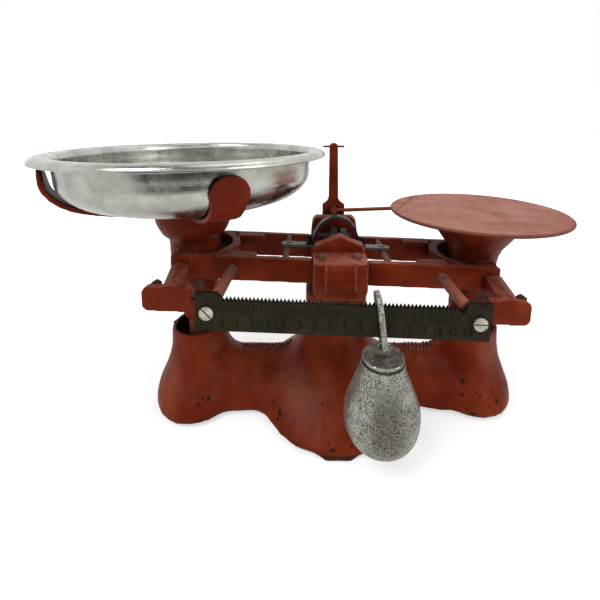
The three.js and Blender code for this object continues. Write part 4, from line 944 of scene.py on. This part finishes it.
def plate():
    rim = PLATE_THICK / 2
    low = PLATE_TOP - PLATE_THICK
    edge = []
    for i in range(PLATE_EDGE_STEPS + 1):
        t = math.radians(-90 + 180 * i / PLATE_EDGE_STEPS)
        edge.append((PLATE_RADIUS - rim + rim * math.cos(t), PLATE_TOP - rim + rim * math.sin(t)))
    under = [(PLATE_RADIUS * k / PLATE_UNDER_RINGS, low) for k in range(PLATE_UNDER_RINGS)]
    over = [(PLATE_RADIUS * TOP_FACE_SHARE * k / PLATE_TOP_RINGS, PLATE_TOP)
            for k in range(PLATE_TOP_RINGS, -1, -1)]
    centre = RIGHT_KNIFE + PLATE_OFFSET
    mesh = turned([*under, *edge, *over], ROUND_STEPS, centre)
    co = coords_of(mesh)
    for i, v in enumerate(co):
        if v[2] <= RIGHT_KNIFE.z + PLATE_TOP - TOP_SKIN:
            continue
        local = Vector((v[0] - centre.x, v[1], 0))
        fade = min(1, max(0, (PLATE_RADIUS - DENT_MARGIN - local.length) / DENT_FADE))
        dent = wave_at(v, WIDE_DENT_SIZE, 1.7) * WIDE_DENT
        dent += wave_at(v, SMALL_DENT_SIZE, 4.2) * SMALL_DENT
        aside = local.x * CREASE_DIRECTION.y - local.y * CREASE_DIRECTION.x + CREASE_REACH
        dent -= CREASE_DEPTH * max(0, 1 - abs(aside) / CREASE_HALF)
        co[i, 2] = v[2] + (dent - TOP_SINK) * fade
    set_coords(mesh, co)
    shade(mesh, 60)
    return add_object("worn_plate", mesh, worn_plate, "right_support", ("plate",))


pan()
plate()
cast("cast_trumpet", "right_trumpet", 0.9 * MM, 6, red, "right_support")


# Notched bar: ticks and plain numbers stamped into its face. Places are in the beam's frame
BAR_FACE = -72.3 * MM
BAR_UNIT = 9.45 * MM
BAR_ZERO = -72.5 * MM
BAR_ROOT = -2.9 * MM
BAR_DIGIT_LINE = -19.0 * MM
BAR_LAST_NUMBER = 16
DIGIT_SIZE = 8.6 * MM
DIGIT_WIDTH_SHARE = 0.72
STAMP = 0.35 * MM
TICKS_A_NUMBER = 4
LONG_TICK = 9.5 * MM
SHORT_TICK = 7 * MM
TICK_HALF = 0.13 * MM
TICK_BELOW_ROOT = 0.9 * MM


def digit_cutters():
    parts = []
    for number in range(BAR_LAST_NUMBER + 1):
        curve = bpy.data.curves.new("digit", "FONT")
        curve.body = str(number)
        curve.size = DIGIT_SIZE
        curve.align_x = "CENTER"
        curve.extrude = STAMP
        curve.resolution_u = 3
        text = bpy.data.objects.new("digit", curve)
        scene.collection.objects.link(text)
        mesh = evaluated(text)
        bpy.data.objects.remove(text)
        stand = QUARTER_TURN @ Matrix.Diagonal((DIGIT_WIDTH_SHARE, 1, 1, 1))
        place = Matrix.Translation((BAR_ZERO + number * BAR_UNIT, BAR_FACE, BAR_DIGIT_LINE))
        parts.append(welded(placed(mesh, place @ stand)))
    return parts


def tick_cutters():
    """Ticks from one before 0 to the last number, longer at each number."""
    parts = []
    top = BAR_ROOT - TICK_BELOW_ROOT
    for i in range(-1, BAR_LAST_NUMBER * TICKS_A_NUMBER + 1):
        x = BAR_ZERO + i * BAR_UNIT / TICKS_A_NUMBER
        length = LONG_TICK if i % TICKS_A_NUMBER == 0 else SHORT_TICK
        low = (x - TICK_HALF, BAR_FACE - STAMP, top - length)
        parts.append(block(low, (x + TICK_HALF, BAR_FACE + STAMP, top)))
    return parts


def bar():
    mesh = nodes["scale_bar"].data.copy()
    for cutters in (tick_cutters(), digit_cutters()):
        mesh = cut(mesh, placed(joined(*cutters), BEAM))
    mesh.polygons.foreach_set("use_smooth", [False] * len(mesh.polygons))
    mesh.update()
    return add_object("stamped_bar", mesh, brass, "beam", ("scale_bar",))


bar()


# Poise weight: a pear, a disc on it and an eye
POISE = Vector((43.8 * MM, -73.2 * MM, 0))
POISE_RADIUS = 24.2 * MM
POISE_BOTTOM = 15.7 * MM
POISE_STEPS = 96
DISC_TOP = 79 * MM
DISC_RADIUS = 13.3 * MM
DISC_THICK = 3.4 * MM
NECK_SHARE = 0.965
SEAM_SHARE = 0.93
LID_SHARE = 0.85
LID_RINGS = 8

# The skin stands slightly back from the profile, waves in and out, and has pits
PIT_SIZE = 2.1 * MM
PIT_START = 0.25
PIT_DEPTH = 0.5 * MM
DENT_SIZE = 11 * MM
DENT_DEPTH = 0.15 * MM
SKIN_BACK = 0.15 * MM

# The pear's line, as shares of its radius and of its height
POISE_SHARES = (
    (0.0, 0.0), (0.30, 0.012), (0.56, 0.055), (0.80, 0.135), (0.95, 0.25), (1.0, 0.39),
    (0.96, 0.53), (0.845, 0.66), (0.712, 0.79), (0.605, 0.91), (0.572, 0.98), (0.55, 1.0),
)

EYE_HEIGHT = 84.5 * MM
LUG_RADIUS = 4.1 * MM
LUG_THICK = 2.6 * MM
LUG_HOLE = 2.5 * MM
LUG_FOOT_SHARE = 1.15
LUG_WAIST_SHARE = 0.98
LUG_SUNK = 0.5 * MM


def lug():
    """The eye on the disc: a plate with a round head, drawn out from its outline and drilled."""
    foot = DISC_TOP - LUG_SUNK - EYE_HEIGHT
    foot_half = LUG_RADIUS * LUG_FOOT_SHARE
    waist_half = LUG_RADIUS * LUG_WAIST_SHARE
    outline = [(-foot_half, foot), (foot_half, foot), (waist_half, foot * 0.5)]
    outline += [(LUG_RADIUS * math.cos(t), LUG_RADIUS * math.sin(t)) for t in np.linspace(0, math.pi, 17)]
    outline += [(-waist_half, foot * 0.5)]
    bm = bmesh.new()
    face = bm.faces.new([bm.verts.new((x, -LUG_THICK / 2, z)) for x, z in outline])
    grown = bmesh.ops.extrude_face_region(bm, geom=[face])
    for v in grown["geom"]:
        if isinstance(v, bmesh.types.BMVert):
            v.co.y += LUG_THICK
    bmesh.ops.recalc_face_normals(bm, faces=bm.faces)
    mesh = mesh_from(bm, "lug")
    drill = [(0, -LUG_THICK), (LUG_HOLE, -LUG_THICK), (LUG_HOLE, LUG_THICK), (0, LUG_THICK)]
    mesh = cut(mesh, placed(turned(drill, 24, (0, 0, 0)), QUARTER_TURN))
    rounding = {"width": 0.5 * MM, "segments": 2, "limit_method": "ANGLE"}
    mesh = with_modifiers(mesh, ("BEVEL", rounding))
    return placed(mesh, Matrix.Translation((POISE.x, POISE.y, EYE_HEIGHT)))


def poise():
    height = DISC_TOP - DISC_THICK - POISE_BOTTOM
    disc_top = height + DISC_THICK
    pear = spline([(POISE_RADIUS * a, height * b) for a, b in POISE_SHARES], 5)
    pear = [(max(r, 0), z) for r, z in pear]
    neck = DISC_RADIUS * NECK_SHARE
    seam = neck * SEAM_SHARE
    disc = [
        (neck, height - 0.4 * MM),
        (seam, height),
        (seam, height + 0.9 * MM),
        (DISC_RADIUS - 0.4 * MM, height + 1.0 * MM),
        (DISC_RADIUS, height + 1.5 * MM),
        (DISC_RADIUS, disc_top - 0.6 * MM),
        (DISC_RADIUS - 0.5 * MM, disc_top),
    ]
    lid = [(DISC_RADIUS * LID_SHARE * k / LID_RINGS, disc_top - 0.1 * MM) for k in range(LID_RINGS, 0, -1)]
    profile = [*pear[:-1], *disc, *lid, (0, disc_top)]
    body = turned(profile, POISE_STEPS, (POISE.x, POISE.y, POISE_BOTTOM))
    fine = with_modifiers(body, ("SUBSURF", {**ONE_SUBDIVISION, "subdivision_type": "SIMPLE"}))
    co = coords_of(fine)
    normals = normals_of(fine)
    for i, v in enumerate(co):
        pit = max(0, noise.noise(Vector(v) / PIT_SIZE) - PIT_START)
        dent = noise.noise(Vector(v) / DENT_SIZE)
        co[i] = v - normals[i] * (pit * PIT_DEPTH - dent * DENT_DEPTH + SKIN_BACK)
    set_coords(fine, co)
    whole = joined(fine, lug())
    shade(whole, 50)
    return add_object("pear_poise", whole, silver, "poise_weight", ("poise_weight",))


poise()
cast("cast_poise_link", "poise_link", 0.32 * MM, 6, silver, "poise_link", skin=0.15 * MM)


# Round rods of the beam, which the CAD draws with few sides. They run along y in the beam's frame
SIDE_ROD_RADIUS = 3.75 * MM
SIDE_ROD_SWELL = 0.6 * MM
CROSS_ROD_RADIUS = 2.5 * MM
ROD_SOFT = 0.5 * MM
ROD_SOFT_SHARE = 0.3
ROD_STEPS = 32


def round_bar(node, radius, swell=None):
    """A turned rod in the node's own box, with one end swelling or both ends softened."""
    inverse = BEAM.inverted()
    local = [inverse @ v.co for v in nodes[node].data.vertices]
    low = Vector([min(v[k] for v in local) for k in range(3)])
    high = Vector([max(v[k] for v in local) for k in range(3)])
    length = high.y - low.y
    half = length / 2
    nearly = ROD_SOFT * ROD_SOFT_SHARE
    if swell:
        start = [(radius + swell * (1 - s) ** 2, -half + s * swell * 2) for s in np.linspace(0, 1, 7)]
    else:
        start = [(radius - ROD_SOFT, -half), (radius - nearly, -half + nearly), (radius, -half + ROD_SOFT)]
    middle = [(radius, -half + length * s) for s in np.linspace(0.2, 0.8, 13)]
    end = [(radius, half - ROD_SOFT), (radius - nearly, half - nearly), (radius - ROD_SOFT, half)]
    mesh = turned([(0, -half), *start, *middle, *end, (0, half)], ROD_STEPS, (0, 0, 0))
    placed(mesh, BEAM @ Matrix.Translation((low + high) / 2) @ QUARTER_TURN)
    roughened(mesh, 0.1 * MM, 3 * MM, 2)
    shade(mesh, 40)
    return add_object(f"round_{node}", mesh, rod_red, "beam", (node,))


for side in ("left", "right"):
    round_bar(f"{side}_side_rod", SIDE_ROD_RADIUS, SIDE_ROD_SWELL)
    round_bar(f"{side}_cross_rod", CROSS_ROD_RADIUS)


# Machined and sheet pieces keep their CAD solid, with broken edges. Each row has words that are
# looked for in a piece's name, the material and the width of the broken edge. The first row that
# fits is used, and the last one fits every name
FINISHES = (
    (("knife", "bearing", "check_link"), black_steel, 0.2 * MM),
    (("arch_bolt", "arch_strap", "cross_pin"), black_steel, 0.3 * MM),
    (("scale_screw",), nickel, 0.35 * MM),
    (("block_screw",), rod_red, 0.3 * MM),
    (("rest_rod", "link_post", "stem"), red, 0.4 * MM),
    (("clip", "nut"), rusty, 0.3 * MM),
    (("",), grey_steel, 0.3 * MM),
)
BROKEN_ANGLE = 35
SHARP_ANGLE = 40


def trimmed(obj, material, width):
    obj.data.materials.clear()
    obj.data.materials.append(material)
    modifier = obj.modifiers.new("edges", "BEVEL")
    modifier.width = width
    modifier.segments = 2
    modifier.limit_method = "ANGLE"
    modifier.angle_limit = math.radians(BROKEN_ANGLE)
    modifier.use_clamp_overlap = True
    shade(obj.data, SHARP_ANGLE)


for node, obj in nodes.items():
    if obj.hide_render:
        continue
    for words, material, width in FINISHES:
        if any(word in node for word in words):
            trimmed(obj, material, width)
            break


# Floor, cards, lamps and world
MIDDLE = (0, 0, 90 * MM)
WHITE = (1, 1, 1, 1)
BLACK = (0, 0, 0, 1)
FLOOR_GREY = (0.8, 0.8, 0.79, 1)
FLOOR_HALF = 6
FLOOR_BELOW = 0.2 * MM
FLOOR_MIRRORED = 0.45
WORLD_LIGHT = 0.34
WORLD_SEEN = 1.0


def sheet(name, half):
    """A flat square, for the floor and the cards."""
    bm = bmesh.new()
    bmesh.ops.create_grid(bm, x_segments=1, y_segments=1, size=half)
    obj = bpy.data.objects.new(name, mesh_from(bm, name))
    scene.collection.objects.link(obj)
    return obj


def aimed(obj, place, target):
    obj.location = place
    direction = Vector(target) - Vector(place)
    obj.rotation_euler = direction.to_track_quat("-Z", "Y").to_euler()


def floor():
    """Takes the object's shadow. It glows for the camera and in reflections, more so further away."""
    obj = sheet("floor", FLOOR_HALF)
    obj.location.z = -FLOOR_BELOW
    material, tree, shader = new_material("floor")
    shader.inputs["Base Color"].default_value = FLOOR_GREY
    shader.inputs["Roughness"].default_value = 0.9
    shader.inputs["Specular IOR Level"].default_value = 0.0
    shader.inputs["Emission Color"].default_value = WHITE
    path = tree.nodes.new("ShaderNodeLightPath")
    mirrored = times(tree, path.outputs["Is Glossy Ray"], FLOOR_MIRRORED)
    seen = greater(tree, path.outputs["Is Camera Ray"], mirrored)
    pale = window(tree, length_of(tree, coordinates(tree)), 0.25, 0.9, 0.58, 1.0)
    link(tree, times(tree, seen, pale), shader.inputs["Emission Strength"])
    obj.data.materials.append(material)


def lamp(name, place, target, size, power):
    data = bpy.data.lights.new(name, "AREA")
    data.size = size
    data.energy = power
    obj = bpy.data.objects.new(name, data)
    aimed(obj, place, target)
    scene.collection.objects.link(obj)


def card(name, place, target, size, level):
    """A grey card that only reflections see, for the tones in the metal."""
    obj = sheet(name, 0.5)
    obj.scale = (*size, 1)
    aimed(obj, place, target)
    obj.visible_camera = False
    obj.visible_diffuse = False
    obj.visible_shadow = False
    material, _, shader = new_material(name)
    shader.inputs["Base Color"].default_value = BLACK
    shader.inputs["Specular IOR Level"].default_value = 0
    shader.inputs["Emission Color"].default_value = WHITE
    shader.inputs["Emission Strength"].default_value = level
    obj.data.materials.append(material)


def studio_world():
    world = bpy.data.worlds.new("studio")
    world.use_nodes = True
    scene.world = world
    tree = world.node_tree
    background = tree.nodes["Background"]
    background.inputs["Color"].default_value = WHITE
    path = tree.nodes.new("ShaderNodeLightPath")
    seen = greater(tree, path.outputs["Is Camera Ray"], path.outputs["Is Glossy Ray"])
    seen = greater(tree, seen, path.outputs["Is Transmission Ray"])
    strength = tree.nodes.new("ShaderNodeMapRange")
    strength.inputs["To Min"].default_value = WORLD_LIGHT
    strength.inputs["To Max"].default_value = WORLD_SEEN
    link(tree, seen, strength.inputs["Value"])
    link(tree, strength.outputs["Result"], background.inputs["Strength"])


floor()
card("front_card", (0.12, -0.55, 0.17), (0.12, 0.5, 0.17), (0.95, 0.30), 0.05)
card("top_card", (0.0, -0.4, 1.9), MIDDLE, (2.6, 2.6), 0.25)
lamp("key", (-0.55, -0.65, 1.15), MIDDLE, 0.5, 6.0)
lamp("top", (0.25, 0.1, 1.35), MIDDLE, 0.9, 4.0)
lamp("fill", (0.95, -0.65, 0.65), MIDDLE, 0.5, 3.2)
studio_world()
scene.view_settings.view_transform = "Standard"
